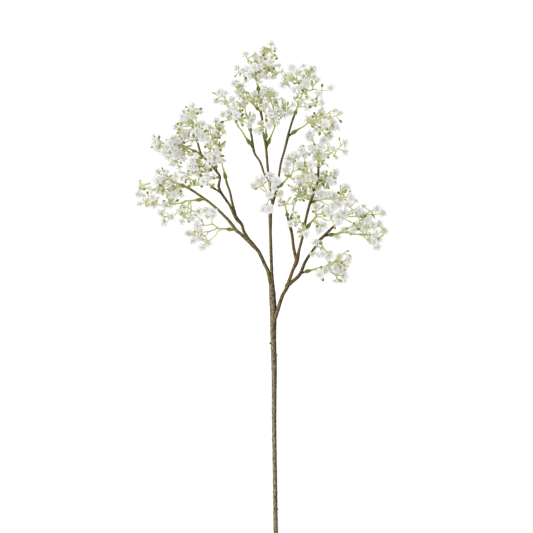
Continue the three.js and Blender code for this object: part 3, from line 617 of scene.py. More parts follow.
class SprayGrowth:
    """Grows one spray in the room that the others leave."""

    def __init__(self, name: str, plan: Spray, thicket: Thicket) -> None:
        """Plans the stalk and adds it to the thicket.

        Args:
            name: the spray's name.
            plan: its row in the table.
            thicket: everything grown so far.
        """
        self.name, self.plan, self.thicket = name, plan, thicket
        self.draws = Draws(plan.seed)
        self.branchlets: list[Shoot] = []
        self.stalk = stalk = self._plan_stalk()
        sleeve = Rod(stalk.foot, stalk.neck, HABIT.sleeve_radius)
        thicket.add(name, stalk, [sleeve, Rod(stalk.neck, stalk.tip, HABIT.stalk_radius)])

    def _plan_stalk(self) -> Stalk:
        """Lays out the sleeve and the stalk.

        Returns:
            the stalk, with its nodes round the fork.
        """
        _, direction, end = stub_of(self.plan)
        fork = point(*self.plan.fork)
        foot = end + direction * HABIT.seat_gap
        length = min(HABIT.sleeve_length, HABIT.sleeve_share * distance(foot, fork))
        neck = foot + direction * length
        count = len(self.plan.tips) - 1
        half = (count + 1) * 0.5 * HABIT.node_step
        middle = max((distance(neck, fork) + HABIT.node_step) / 2, half)
        steps = [(index - (count - 1) / 2) * HABIT.node_step for index in range(count)]
        nodes = [neck + direction * (middle + step) for step in steps]
        return Stalk(foot, direction, length, neck, fork, nodes, neck + direction * (middle + half))

    def grow(self) -> None:
        """Grows every branchlet and its pedicels; the one most ahead ends the stalk."""
        fork, direction = self.stalk.fork, self.stalk.direction

        def ahead(tip: Tip) -> float:
            """Returns how far ahead of the fork a tip lies."""
            return unit(point(tip.x, tip.y, fork[2]) - fork) @ direction

        tips = sorted((Tip(*values) for values in self.plan.tips), key=ahead)
        self.branchlets = [self._branchlet(tip, index) for index, tip in enumerate(tips)]
        for tip, branchlet in zip(tips, self.branchlets):
            side_blooms = max(tip.blooms - 1, 0)
            heads = side_blooms + (tip.buds if tip.blooms else tip.buds - 1)
            branchlet.pedicels = [self._pedicel(branchlet, count < side_blooms) for count in range(heads)]

    def shoots(self) -> list[Shoot]:
        """Returns all the branchlets and pedicels."""
        return self.branchlets + [side for shoot in self.branchlets for side in shoot.pedicels]

    def _rods(self, shoot: Shoot) -> list[Rod]:
        """Finds the room that a shoot takes.

        Args:
            shoot: the shoot.

        Returns:
            its rods, from its root to its head.
        """
        half = 0 if shoot.is_bloom else HABIT.bud_length / 2 - HABIT.bud_radius
        reach = HABIT.bloom_radius + HABIT.bloom_margin if shoot.is_bloom else HABIT.bud_radius
        free = max(HABIT.free_after, HABIT.free_share * distance(shoot.points[0], shoot.centre))
        rods = [
            Rod(start, end, HABIT.stalk_radius, free_after=0 if index else free)
            for index, (start, end) in enumerate(zip(shoot.points, shoot.points[1:]))
        ]
        return rods + [Rod(shoot.centre - shoot.axis * half, shoot.centre + shoot.axis * half, reach, True)]

    def _first_clear(self, draw: Callable, table: float, carrier: Shoot | Stalk) -> Shoot:
        """Draws until a shoot has a clear place and a head that goes on without a kink.

        Args:
            draw: makes a shoot, from the share of the tries that are spent.
            table: the least height above the table.
            carrier: what the shoot leaves from.

        Returns:
            the first shoot that fits, which is added to the thicket.

        Raises:
            RuntimeError: if none fits.
        """
        for attempt in range(HABIT.tries):
            shoot = draw(attempt / HABIT.tries)
            if shoot is None or shoot.leg() @ shoot.axis <= HABIT.facing_head:
                continue
            rods = self._rods(shoot)
            if self.thicket.is_clear(self.name, rods, table, carrier):
                self.thicket.add(self.name, shoot, rods)
                carrier.used.append((shoot.node, shoot.side))
                return shoot
        raise RuntimeError(f"no clear place on {self.name}")

    def _root_for(self, centre: Array, ideal: int) -> tuple | None:
        """Finds where a branchlet leaves the stalk for its tip.

        Args:
            centre: the middle of the branchlet's head.
            ideal: the node that it would leave from best.

        Returns:
            the root, node and side, or None where no side is free.
        """
        stalk = self.stalk
        if ideal == len(stalk.nodes):
            return stalk.tip, None, None
        best_score, best = -math.inf, None
        for node, root in enumerate(stalk.nodes):
            for side, normal in enumerate(sides_round(stalk.direction, side_of(stalk.direction))):
                is_free = all(used[1] != side or used[0] < node for used in stalk.used)
                fit = facing(root, centre, stalk.direction, normal)
                score = fit - HABIT.node_pull * abs(node - ideal)
                if is_free and fit > HABIT.facing_side and score > best_score:
                    best_score, best = score, (root, node, side)
        return best

    def _branchlet(self, tip: Tip, ideal: int) -> Shoot:
        """Grows a branchlet from the stalk out to a tip, with its first bloom or bud.

        Args:
            tip: where it ends.
            ideal: the node that it would leave from best.

        Returns:
            the branchlet.
        """
        draws, stalk = self.draws, self.stalk
        is_bloom = tip.blooms > 0

        def draw(strain: float) -> Shoot | None:
            """Draws a branchlet.

            Args:
                strain: the share of the tries that are spent; the higher, the farther its head strays.

            Returns:
                the branchlet, or None where no side is free for it.
            """
            drift, lean, _turn = draws.scatter(), draws.scatter(), draws.next()
            height = HABIT.pressed_height if tip.face_down else stalk.fork[2] + self.plan.spread * drift[2]
            strained = HABIT.drift * strain
            centre = point(tip.x + strained * drift[0], tip.y + strained * drift[1], height)
            place = self._root_for(centre, ideal)
            if place is None:
                return None
            root, node, side = place
            to_tip = unit(centre - root)
            axis = -UP if tip.face_down else aim(to_tip, lean, HABIT.branchlet_aim)
            foot = centre - axis * (HABIT.calyx_depth if is_bloom else HABIT.bud_length / 2)
            reach = distance(root, foot)
            outward = unit(to_tip - stalk.direction * (to_tip @ stalk.direction))
            middle = root + (foot - root) * 0.5 + outward * (0 if node is None else HABIT.bow * reach)
            if tip.face_down:
                points = [root, middle, foot - axis * HABIT.droop, foot]
            else:
                points = [root, middle, foot] if reach > HABIT.longest_straight else [root, foot]
            return Shoot(points, centre, axis, is_bloom, node, side)

        table = -HABIT.bloom_radius if tip.face_down else HABIT.table_clearance
        return self._first_clear(draw, table, stalk)

    def _pedicel(self, branchlet: Shoot, is_bloom: bool) -> Shoot:
        """Grows a short side pedicel with one more bloom or bud.

        Args:
            branchlet: what it leaves from.
            is_bloom: whether it ends in a bloom, and not in a bud.

        Returns:
            the pedicel.
        """
        draws = self.draws
        root, direction = branchlet.side_node(), branchlet.leg()
        normals = sides_round(direction, branchlet.across())

        def draw(_strain: float) -> Shoot | None:
            """Draws a pedicel.

            Args:
                _strain: the share of the tries that are spent, which changes nothing here.

            Returns:
                the pedicel, or None where no side is free for it.
            """
            stray, lean = draws.scatter(), draws.scatter()
            reach = (1 if is_bloom else HABIT.bud_reach) * draws.between(*HABIT.pedicel_reach)
            draws.next()  # the solid's head is turned by it
            heading = unit(direction + stray * HABIT.stray)
            centre = root + heading * reach
            used = [side for _, side in branchlet.used]
            fits = [
                -1 if side in used else facing(root, centre, direction, normal)
                for side, normal in enumerate(normals)
            ]
            side = fits.index(max(fits))
            if fits[side] < HABIT.facing_side:
                return None
            axis = aim(heading, lean, HABIT.pedicel_aim)
            foot = centre - axis * (HABIT.calyx_depth if is_bloom else HABIT.bud_length / 2)
            return Shoot([root, foot], centre, axis, is_bloom, 0, side)

        return self._first_clear(draw, HABIT.table_clearance, branchlet)


def grown_sprays() -> list[SprayGrowth]:
    """Grows the wood, every stalk, and then each spray in turn.

    Returns:
        the sprays.
    """
    thicket = Thicket()
    wood: list[Rod] = []
    for limb in LIMBS.values():
        rows = [point(*row) for row in limb.line]
        wood += [Rod(row[:3], after[:3], max(row[3], after[3])) for row, after in zip(rows, rows[1:])]
    for spray in SPRAYS.values():
        source, _, end = stub_of(spray)
        wood.append(Rod(source, end, HABIT.stub_radius))
    thicket.add("wood", wood, wood)
    sprays = [SprayGrowth(name, plan, thicket) for name, plan in SPRAYS.items()]
    for spray in sprays:
        spray.grow()
    return sprays


# ---- fine growth, which only the looks have ----


class HeadKind(Enum):
    """What a stalk can end in. The value is the source shape's number in its kit."""

    BUD = 0
    OPENING = 1
    CALYX = 2
    BRACT = 3


@dataclass
class Strand:
    """A thin swept line with a radius and a shade at each point."""

    points: list[Array]
    radii: list[float]
    ages: list[float]


@dataclass
class Head:
    """A head on its stalk: its base, the way it points, its turn in radians, and its size."""

    base: Array
    axis: Array
    turn: float
    size: float
    kind: int
    tone: float


def is_face_down(axis: Array) -> bool:
    """Says whether a head with this axis lies on its face."""
    return axis @ UP < FACE_DOWN


def smooth_line(points: list[Array], step: float) -> tuple[list[Array], list[float]]:
    """Rounds the corners of a line.

    Args:
        points: the corners of the line.
        step: the distance between the new points.

    Returns:
        the new points, and how far along the line each lies, as a share.
    """
    ends = [2 * points[0] - points[1], *points, 2 * points[-1] - points[-2]]
    line, places = [], []
    for index in range(len(points) - 1):
        before, start, end, after = ends[index : index + 4]
        count = max(2, round(distance(start, end) / step))
        for part in range(count):
            t = part / count
            bend = (2 * before - 5 * start + 4 * end - after) * t**2
            twist = (3 * start - before - 3 * end + after) * t**3
            line.append(0.5 * (2 * start + (end - before) * t + bend + twist))
            places.append((index + t) / (len(points) - 1))
    return [*line, points[-1]], [*places, 1.0]


def far_apart(starts: list[Array]) -> tuple[int, int]:
    """Returns the two directions of a list that differ most."""
    pairs = [(one, other) for one in range(len(starts)) for other in range(one)]
    return min(pairs, key=lambda pair: starts[pair[0]] @ starts[pair[1]])


@dataclass
class FineSpray:
    """The thin stalks, buds and blooms of one spray, as they look.

    The solids' branchlets all leave their stalk at one place. Here they share their way and fork again
    and again, as a cyme does, and end in the same heads. Sizes with two values run from a foot to an
    end, or from the least to the most; tones run from 0, pale, to 1, dark.
    """

    growth: SprayGrowth
    first_seed: int = 7000
    stalk_radii: Pair = (0.95, 0.8)
    stalk_tones: Pair = (0.5, 0.3)
    fork_radius: float = 0.95
    fork_taper: float = 0.92
    fork_tones: Pair = (0.3, 0.2)
    fork_share: float = 0.46
    gate_share: float = 0.7
    least_fork: float = 4.0
    last_tones: Pair = (0.24, 0.06)
    pedicel_radii: Pair = (0.86, 0.7)
    pedicel_tones: Pair = (0.16, 0.04)
    small_pedicel_tones: Pair = (0.16, 0.06)
    knuckle: float = 1.3
    set_out: float = 0.3
    first_bow: float = 0.04
    bow: float = 0.07
    turn_out: float = 1.5
    carry_on: float = 0.5
    step: float = 2.2
    onward: float = 0.25
    bract_sizes: Pair = (0.8, 1.25)
    bract_tones: Pair = (0.35, 0.8)
    bract_depth: float = 0.3
    bloom_sizes: Pair = (1.12, 1.4)
    full_bloom_size: float = 1.05
    bud_sizes: Pair = (0.85, 1.1)
    opening_share: float = 0.3
    calyx_tones: Pair = (0.1, 0.4)
    opening_tones: Pair = (0.15, 0.55)
    bud_tones: Pair = (0.3, 0.85)
    extra_blooms: float = 0.7
    extra_buds: float = 1.15
    bloom_reach: Pair = (4.5, 11)
    bud_reach: Pair = (4, 9)
    small_bud_sizes: Pair = (0.75, 1.15)
    small_bloom_sizes: Pair = (0.85, 1.1)
    soft_radius: float = 3.4
    roots: Pair = (0.3, 0.85)
    side_stray: float = 1.3
    rise: float = 0.15
    lean: float = 1.2
    lean_reach: float = 12
    gathering: float = 1.7
    nod: float = 0.7
    tries: int = 40
    strands: list[Strand] = field(default_factory=list)
    greens: list[Head] = field(default_factory=list)
    blooms: list[Head] = field(default_factory=list)

    def __post_init__(self) -> None:
        """Starts a run of draws of its own."""
        self.draws = Draws(self.growth.plan.seed + self.first_seed + len(self.growth.name))

    def grow(self) -> None:
        """Lays out every strand and head."""
        stalk = self.growth.stalk
        self._strand([stalk.neck, stalk.tip], self.stalk_radii, self.stalk_tones)
        onward = [shoot for shoot in self.growth.branchlets if self._is_onward(shoot)]
        self._cyme(stalk.tip, stalk.direction, onward, self.fork_radius)
        for shoot in self.growth.branchlets:
            if shoot not in onward:
                self._last_stretch(shoot.points[0], stalk.direction, shoot, self.fork_radius)
            for pedicel in shoot.pedicels:
                self._strand(pedicel.points, self.pedicel_radii, self.pedicel_tones)
                self._head(pedicel)
        self._extras()

    def _gate(self, shoot: Shoot) -> Array:
        """Returns the last fork of a branchlet, from which its head and its pedicels leave."""
        return shoot.points[-2] if is_face_down(shoot.axis) else shoot.side_node()

    def _is_onward(self, shoot: Shoot) -> bool:
        """Says whether a branchlet goes on from its stalk's tip, rather than back beside it."""
        stalk = self.growth.stalk
        return unit(self._gate(shoot) - stalk.tip) @ stalk.direction > self.onward

    def _bowed(self, root: Array, end: Array, heading: Array) -> list[Array]:
        """Bends a way over from the heading that it sets out along.

        Args:
            root: where it starts.
            end: where it ends.
            heading: how it sets out.

        Returns:
            four points of the way.
        """
        reach, stray = distance(root, end), self.draws.scatter()
        first = root + heading * reach * self.set_out + stray * reach * self.first_bow
        return [root, first, (root + end) / 2 + stray * reach * self.bow, end]

    def _cyme(self, root: Array, heading: Array, shoots: list[Shoot], radius: float) -> None:
        """Forks a strand towards its shoots, again and again, until each has its own.

        Args:
            root: where the strand has got to.
            heading: the way it goes there.
            shoots: the branchlets that it still has to reach.
            radius: how thick it is there.
        """
        if len(shoots) < 2:
            for shoot in shoots:
                self._last_stretch(root, heading, shoot, radius)
            return
        starts = [unit(self._gate(shoot) - root) for shoot in shoots]
        one, other = far_apart(starts)
        halves: tuple[list[Shoot], list[Shoot]] = ([], [])
        for shoot, start in zip(shoots, starts):
            halves[start @ starts[one] < start @ starts[other]].append(shoot)
        self._bracts(root, [starts[one], starts[other]])
        thinner = radius * self.fork_taper
        for half in halves:
            gates = [self._gate(shoot) for shoot in half]
            middle = sum(gates) / len(gates)
            nearest = min(distance(root, gate) for gate in gates)
            reach = min(self.fork_share * distance(root, middle), self.gate_share * nearest)
            if len(half) > 1 and reach > self.least_fork:
                fork = root + unit(middle - root) * reach
                way = self._bowed(root, fork, unit(heading + self.turn_out * (middle - root) / reach))
                self._strand(way, (radius, thinner), self.fork_tones)
                self._cyme(fork, unit(way[-1] - way[-2]), half, thinner)
            else:
                for shoot in half:
                    self._last_stretch(root, heading, shoot, thinner)

    def _last_stretch(self, root: Array, heading: Array, shoot: Shoot, radius: float) -> None:
        """Adds the strand from a fork to a branchlet's own last fork, and on to its head.

        Args:
            root: the fork.
            heading: the way the stalk reaches it.
            shoot: the branchlet.
            radius: how thick the strand starts.
        """
        gate = self._gate(shoot)
        way = self._bowed(root, gate, unit(unit(gate - root) + self.carry_on * heading))
        self._strand([*way, shoot.points[-1]], (radius, self.pedicel_radii[1]), self.last_tones)
        self._bracts(gate, [side.leg() for side in shoot.pedicels])
        self._head(shoot)

    def _bracts(self, root: Array, headings: list[Array]) -> None:
        """Adds the small scale that each shoot springs from at a fork.

        Args:
            root: the fork.
            headings: how the shoots leave it.
        """
        for heading in headings:
            size, tone = self.draws.between(*self.bract_sizes), self.draws.between(*self.bract_tones)
            self._green(HeadKind.BRACT, root - heading * self.bract_depth, heading, 0, size, tone=tone)

    def _strand(self, points: list[Array], radii: Pair, tones: Pair) -> None:
        """Adds a strand with a slight bow and a knuckle at each end.

        Args:
            points: what it runs through.
            radii: how thick it is at its foot and at its end.
            tones: how dark it is there.
        """
        if len(points) == 2:
            bow = self.draws.scatter() * self.bow * distance(*points)
            points = [points[0], (points[0] + points[1]) / 2 + bow, points[1]]
        line, places = smooth_line(points, self.step)
        thick = [between(radii, place) for place in places]
        thick[0] *= self.knuckle
        thick[-1] *= self.knuckle
        self.strands.append(Strand(line, thick, [between(tones, place) for place in places]))

    def _green(self, kind: HeadKind, *place: Array | float, tone: float) -> None:
        """Adds a shape of the green kit, by its base, axis, turn and size."""
        self.greens.append(Head(*place, kind.value, tone))

    def _head(self, shoot: Shoot) -> None:
        """Adds the bloom on its calyx, or the bud, that a shoot ends in.

        Args:
            shoot: the branchlet or pedicel.
        """
        if shoot.is_bloom:
            base = shoot.centre - shoot.axis * HABIT.calyx_depth
            self._bloom(base, shoot.axis, self.draws.between(*self.bloom_sizes))
        else:
            base = shoot.centre - shoot.axis * HABIT.bud_length / 2
            turn = math.tau * self.draws.next()
            self._bud(base, shoot.axis, turn, self.draws.between(*self.bud_sizes))

    def _bloom(self, base: Array, axis: Array, size: float) -> None:
        """Adds a bloom on its calyx.

        Args:
            base: the foot of the calyx.
            axis: the way the bloom would face if it didn't nod.
        """
        turn, tone = math.tau * self.draws.next(), self.draws.next()
        is_full = size > self.full_bloom_size
        kind = int(self.draws.between(0, BloomKit.variants)) if is_full else BloomKit.variants
        if not is_face_down(axis):
            axis = unit(axis + self.nod * self.draws.scatter())
        self._green(HeadKind.CALYX, base, axis, turn, size, tone=between(self.calyx_tones, tone))
        self.blooms.append(Head(base, axis, turn, size, kind, tone))

    def _bud(self, base: Array, axis: Array, turn: float, size: float) -> None:
        """Adds a closed bud, or one that opens, with a tuft of petals.

        Args:
            base: the foot of the bud.
            axis: the way it points.
            turn: how far it is turned, in radians.
        """
        tone = self.draws.next()
        if self.draws.next() < self.opening_share:
            self._green(HeadKind.OPENING, base, axis, turn, size, tone=between(self.opening_tones, tone))
            self.blooms.append(Head(base, axis, turn, size, BloomKit.variants + 1, tone))
        else:
            self._green(HeadKind.BUD, base, axis, turn, size, tone=between(self.bud_tones, tone))

    def _way(self, place: Array) -> tuple[Array, float]:
        """Finds the way from a place to where the spray is full.

        Args:
            place: the place.

        Returns:
            the way and its length, which are 0 where the spray is full all over.
        """
        towards = self.growth.plan.towards
        if towards is None:
            return place * 0, 0
        target = np.array([*towards, place[2]])
        return target - place, distance(place, target)

    def _extras(self) -> None:
        """Adds small blooms and buds on pedicels of their own, where there is room for them."""
        count = len(self.growth.shoots()) * self.growth.plan.share
        for _ in range(round(self.extra_blooms * count)):
            self._extra(True)
        for _ in range(round(self.extra_buds * count)):
            self._extra(False)

    def _extra(self, is_bloom: bool) -> None:
        """Adds one small bloom or bud, unless no clear place turns up for it.

        Args:
            is_bloom: whether it is a bloom, and not a bud.
        """
        growth, draws = self.growth, self.draws
        shoots = sorted(growth.shoots(), key=lambda shoot: self._way(shoot.points[-1])[1])
        gathering = self.gathering if growth.plan.towards else 1
        reach = self.bloom_reach if is_bloom else self.bud_reach
        sizes = self.small_bloom_sizes if is_bloom else self.small_bud_sizes
        for _ in range(self.tries):
            shoot = shoots[int(len(shoots) * draws.next() ** gathering)]
            start, end = shoot.points[-2:]
            root = start + (end - start) * draws.between(*self.roots)
            way, apart = self._way(root)
            lean = way / max(apart, self.lean_reach) * self.lean
            heading = unit(shoot.leg() + self.side_stray * draws.scatter() + self.rise * UP + lean)
            tip = root + heading * draws.between(*reach)
            size = draws.between(*sizes)
            if is_bloom:
                centre = tip + heading * HABIT.calyx_depth * size
                head = Rod(centre, centre, self.soft_radius * size, True)
            else:
                head = Rod(tip, tip + heading * HABIT.bud_length * size, HABIT.bud_radius * size, True)
            if growth.thicket.is_clear(growth.name, [head], HABIT.table_clearance, shoot):
                growth.thicket.add(growth.name, head, [head])
                self._strand([root, tip], self.pedicel_radii, self.small_pedicel_tones)
                if is_bloom:
                    self._bloom(tip, heading, size)
                else:
                    self._bud(tip, heading, 0, size)
                return


# ---- meshes ----

SPENT = ("rise", "radius", "size", "kind", "turn", "along", "girth", "around", "sunward", "sharp_edge")


def mesh_of(name: str, points: Array, faces: list[tuple[int, ...]] = (), edges: list[tuple] = ()) -> Mesh:
    """Makes a mesh.

    Args:
        name: its name.
        points: its points, in metres.
        faces: the points of each face.
        edges: the points of each bare edge.

    Returns:
        the mesh.
    """
    mesh = bpy.data.meshes.new(name)
    mesh.from_pydata([tuple(row) for row in points], list(edges), list(faces))
    mesh.update()
    return mesh


def store(mesh: Mesh, name: str, values: Array | list, kind: str = "FLOAT") -> None:
    """Gives every point of a mesh a value under a name.

    Args:
        mesh: the mesh.
        name: the attribute's name.
        values: a value for each point.
        kind: what sort of value it is.
    """
    numbers = np.asarray(values, dtype=np.int32 if kind == "INT" else np.float32)
    slot = "vector" if kind == "FLOAT_VECTOR" else "value"
    mesh.attributes.new(name, kind, "POINT").data.foreach_set(slot, numbers.ravel())


def points_of(mesh: Mesh) -> Array:
    """Reads where a mesh's points are.

    Args:
        mesh: the mesh.

    Returns:
        a row for each point, in metres.
    """
    places = np.empty(3 * len(mesh.vertices))
    mesh.vertices.foreach_get("co", places)
    return places.reshape(-1, 3)


def object_of(name: str, data: bpy.types.ID) -> Object:
    """Makes an object and links it to the scene.

    Args:
        name: its name.
        data: its mesh, light or camera.

    Returns:
        the object.
    """
    piece = bpy.data.objects.new(name, data)
    bpy.context.scene.collection.objects.link(piece)
    return piece


def joined_mesh(name: str, meshes: list[Mesh]) -> Mesh:
    """Joins meshes, removes them, and drops their sharp edges and the values that no finish reads.

    Args:
        name: the new mesh's name.
        meshes: the meshes.

    Returns:
        the one mesh.
    """
    work = bmesh.new()
    for mesh in meshes:
        work.from_mesh(mesh)
        bpy.data.meshes.remove(mesh)
    for face in work.faces:
        face.material_index = 0
    whole = bpy.data.meshes.new(name)
    work.to_mesh(whole)
    work.free()
    for spent in SPENT:
        if spent in whole.attributes:
            whole.attributes.remove(whole.attributes[spent])
    return whole


def settle(mesh: Mesh, softness: float = 0.00025) -> None:
    """Presses what would sink into the table flat on it, and leaves the rest where it is.

    Args:
        mesh: the mesh.
        softness: how gradually it is pressed, in metres.
    """
    points = points_of(mesh)
    points[:, 2] = softness * np.logaddexp(0, points[:, 2] / softness)
    mesh.vertices.foreach_set("co", points.ravel())
    mesh.update()


class ShapeMaker:
    """Gathers points and faces of a small shape, in millimetres, with a rise at each point."""

    squeeze = (1, 1, 0.25)  # draws a pattern out along the shape

    def __init__(self) -> None:
        """Starts with no points."""
        self.points: list[Array | Triple] = []
        self.rises: list[float] = []
        self.faces: list[tuple[int, ...]] = []

    def turned(self, profile: Profile, sides: int, lobes: float = 0, lobe_count: int = 5) -> None:
        """Adds a closed turned shape.

        Args:
            profile: radius and height of each ring, from the foot to the top.
            sides: how many points a ring has.
            lobes: how deep the lengthwise grooves are, as a share of the radius.
            lobe_count: how many grooves there are.
        """
        first = len(self.points)
        height = profile[-1][1] - profile[0][1]
        for radius, level in profile:
            for index in range(sides):
                angle = math.tau * index / sides
                reach = radius * (1 + lobes * math.cos(lobe_count * angle))
                self.points.append((reach * math.cos(angle), reach * math.sin(angle), level))
                self.rises.append((level - profile[0][1]) / height)
        last = first + (len(profile) - 1) * sides
        for low in range(first, last, sides):
            for index in range(sides):
                after = (index + 1) % sides
                self.faces.append((low + index, low + after, low + sides + after, low + sides + index))
        self.faces.append(tuple(reversed(range(first, first + sides))))
        self.faces.append(tuple(range(last, last + sides)))

    def mesh(self, name: str) -> Mesh:
        """Makes a mesh of everything added, in metres and shaded smooth.

        Args:
            name: the mesh's name.

        Returns:
            the mesh, with its rise and grain.
        """
        points = np.array(self.points) * MM
        mesh = mesh_of(name, points, self.faces)
        store(mesh, "rise", self.rises)
        store(mesh, "grain", points * self.squeeze, "FLOAT_VECTOR")
        mesh.polygons.foreach_set("use_smooth", [True] * len(mesh.polygons))
        return mesh


@dataclass(frozen=True)
class Whorl:
    """A ring of petals: how many, their size, and how steeply they start and end, in degrees."""

    count: int
    length: float
    width: float
    start: float
    end: float
    base: float
    rows: int = 3


@dataclass
class BloomKit:
    """The shapes that the white pieces are made of: double blooms, a small bloom and a tuft of petals.

    A petal has points in columns, from side to side, and in rows, from its foot to its tip. widths says
    how wide it is at each row, and reaches how far each column goes, which notches the tip.
    """

    variants: int = 4
    first_seed: int = 40
    thickness: float = 0.16
    frill: float = 0.42
    cup: float = 0.3
    foot: float = 0.35
    crowding: float = 0.38
    lengths: Pair = (0.74, 1.18)
    breadths: Pair = (0.8, 1.15)
    tilt: float = 17
    twist: float = 0.25
    frills: float = 1.3
    columns: tuple[float, ...] = (-1, -0.5, 0, 0.5, 1)
    reaches: tuple[float, ...] = (0.84, 1.0, 0.87, 1.0, 0.84)
    widths: tuple[float, ...] = (0.36, 0.94, 0.88)
    long_widths: tuple[float, ...] = (0.34, 0.8, 1.0, 0.86)
    full: tuple[Whorl, ...] = (
        Whorl(4, 4.4, 3.6, 12, -40, 1.8),
        Whorl(5, 5.0, 3.9, 32, -10, 2.0, 4),
        Whorl(4, 4.6, 3.6, 50, 16, 2.3, 4),
        Whorl(3, 3.9, 3.2, 70, 44, 2.5),
        Whorl(2, 3.2, 2.6, 84, 72, 2.7),
    )
    small: tuple[Whorl, ...] = (
        Whorl(5, 4.7, 3.8, 34, -12, 1.9),
        Whorl(3, 4.2, 3.4, 56, 28, 2.2),
        Whorl(2, 3.3, 2.6, 78, 64, 2.5),
    )
    tuft: tuple[Whorl, ...] = (Whorl(4, 2.4, 1.5, 88, 74, 2.6),)
    heart: Profile = ((0.5, 2.2), (0.75, 3.1), (0.5, 3.9), (0.05, 4.2))
    heart_sides: int = 5

    def build(self) -> Collection:
        """Makes the shapes.

        Returns:
            a collection of them, in the order of their numbers.
        """
        kit = bpy.data.collections.new("bloom kit")
        flowers = [(self.full, True)] * self.variants + [(self.small, True), (self.tuft, False)]
        for number, (whorls, has_heart) in enumerate(flowers):
            mesh = self._flower(f"white_{number}", whorls, Draws(self.first_seed + number), has_heart)
            kit.objects.link(bpy.data.objects.new(mesh.name, mesh))
        return kit

    def _flower(self, name: str, whorls: tuple[Whorl, ...], draws: Draws, has_heart: bool) -> Mesh:
        """Makes one flower, whose base is the origin and which faces up.

        Args:
            name: its name.
            whorls: its rings of petals, from the outermost in.
            draws: the run that its petals are varied by.
            has_heart: whether it has a green heart.

        Returns:
            its mesh.
        """
        shape = ShapeMaker()
        for number, whorl in enumerate(whorls):
            for index in range(whorl.count):
                step = index + 0.5 * (number % 2) + draws.between(-self.crowding, self.crowding)
                self._petal(shape, whorl, math.tau * step / whorl.count, draws)
        if has_heart:
            shape.turned(self.heart, self.heart_sides)
            count = len(self.heart) * self.heart_sides
            shape.rises[-count:] = [0.0] * count
        return shape.mesh(name)

    def _petal(self, shape: ShapeMaker, whorl: Whorl, azimuth: float, draws: Draws) -> None:
        """Adds a petal as a thin closed sheet with a notched, frilled tip.

        Args:
            shape: the flower that it belongs to.
            whorl: the ring that it stands in.
            azimuth: the way it faces, in radians.
            draws: the run that it is varied by.
        """
        widths = self.long_widths if whorl.rows == len(self.long_widths) else self.widths
        length = whorl.length * draws.between(*self.lengths)
        width = whorl.width * draws.between(*self.breadths)
        tilt = draws.between(-self.tilt, self.tilt)
        phase = draws.between(0, math.tau)
        twist = draws.between(-self.twist, self.twist)
        out = point(math.cos(azimuth), math.sin(azimuth), 0)
        side = point(-math.sin(azimuth), math.cos(azimuth), 0)
        first = len(shape.points)
        spine = point(0, 0, whorl.base) + self.foot * out
        sheet, under, rises = [], [], []
        for row in range(whorl.rows):
            along = row / (whorl.rows - 1)
            angle = math.radians(whorl.start + (whorl.end - whorl.start) * along + tilt)
            course = out * math.cos(angle) + UP * math.sin(angle)
            normal = UP * math.cos(angle) - out * math.sin(angle)
            if row:
                spine = spine + course * (length / (whorl.rows - 1))
            for column, reach in zip(self.columns, self.reaches):
                shorten = (1 - reach) * length * along**3
                across = column * widths[row] * width / 2
                wave = self.frill * along**2 * math.sin(self.frills * math.pi * column + phase)
                cup = self.cup * column**2 * widths[row] + twist * column * along
                place = spine - course * shorten + side * across + normal * (cup + wave)
                sheet.append(place)
                under.append(place - normal * self.thickness)
                rises.append(along)
        shape.points += sheet + under
        shape.rises += rises + rises
        shape.faces += self._petal_faces(first, whorl.rows)

    def _petal_faces(self, first: int, rows: int) -> list[tuple[int, ...]]:
        """Lists the faces of a petal: its upper side, its under side, and the rim between them.

        Args:
            first: the number of its first point.
            rows: how many rows of points it has.

        Returns:
            the points of each face.
        """
        wide = len(self.columns)
        count = rows * wide
        last = count - wide
        faces: list[tuple[int, ...]] = []
        for row in range(rows - 1):
            for column in range(wide - 1):
                low = first + row * wide + column
                quad = (low, low + wide, low + wide + 1, low + 1)
                faces += [quad, tuple(number + count for number in reversed(quad))]
        rim = [
            *range(wide),
            *range(2 * wide - 1, count, wide),
            *reversed(range(last, count - 1)),
            *reversed(range(wide, last, wide)),
        ]
        for here, after in zip(rim, rim[1:] + rim[:1]):
            faces.append((first + here, first + after, first + after + count, first + here + count))
        return faces


@dataclass
class GreenKit:
    """The shapes that the green pieces are made of: bud, opening bud, calyx and bract."""

    sides: int = 8
    lobes: float = 0.08
    lobe_count: int = 4
    bud: Profile = (
        (0.42, 0), (1.05, 0.5), (1.6, 1.35), (1.68, 2.2), (1.3, 3.3), (0.6, 4.2), (0.08, 4.7),
    )
    opening: Profile = ((0.42, 0), (0.95, 0.5), (1.3, 1.4), (1.36, 2.3), (1.2, 3.1), (0.6, 3.3))
    calyx: Profile = ((0.5, -0.2), (0.95, 0.4), (1.35, 1.2), (1.6, 2.0), (1.3, 2.4), (0.3, 2.5))
    bract: Profile = ((0.3, 0), (0.66, 0.6), (0.72, 1.3), (0.4, 2.3), (0.05, 3.0))

    def build(self) -> Collection:
        """Makes the shapes.

        Returns:
            a collection of them, in the order of their numbers.
        """
        kit = bpy.data.collections.new("green kit")
        profiles = (self.bud, self.opening, self.calyx, self.bract)
        for kind, profile in zip(HeadKind, profiles):
            shape = ShapeMaker()
            shape.turned(profile, self.sides, self.lobes, self.lobe_count)
            kit.objects.link(bpy.data.objects.new(f"green_{kind.value}", shape.mesh(kind.name.lower())))
        return kit


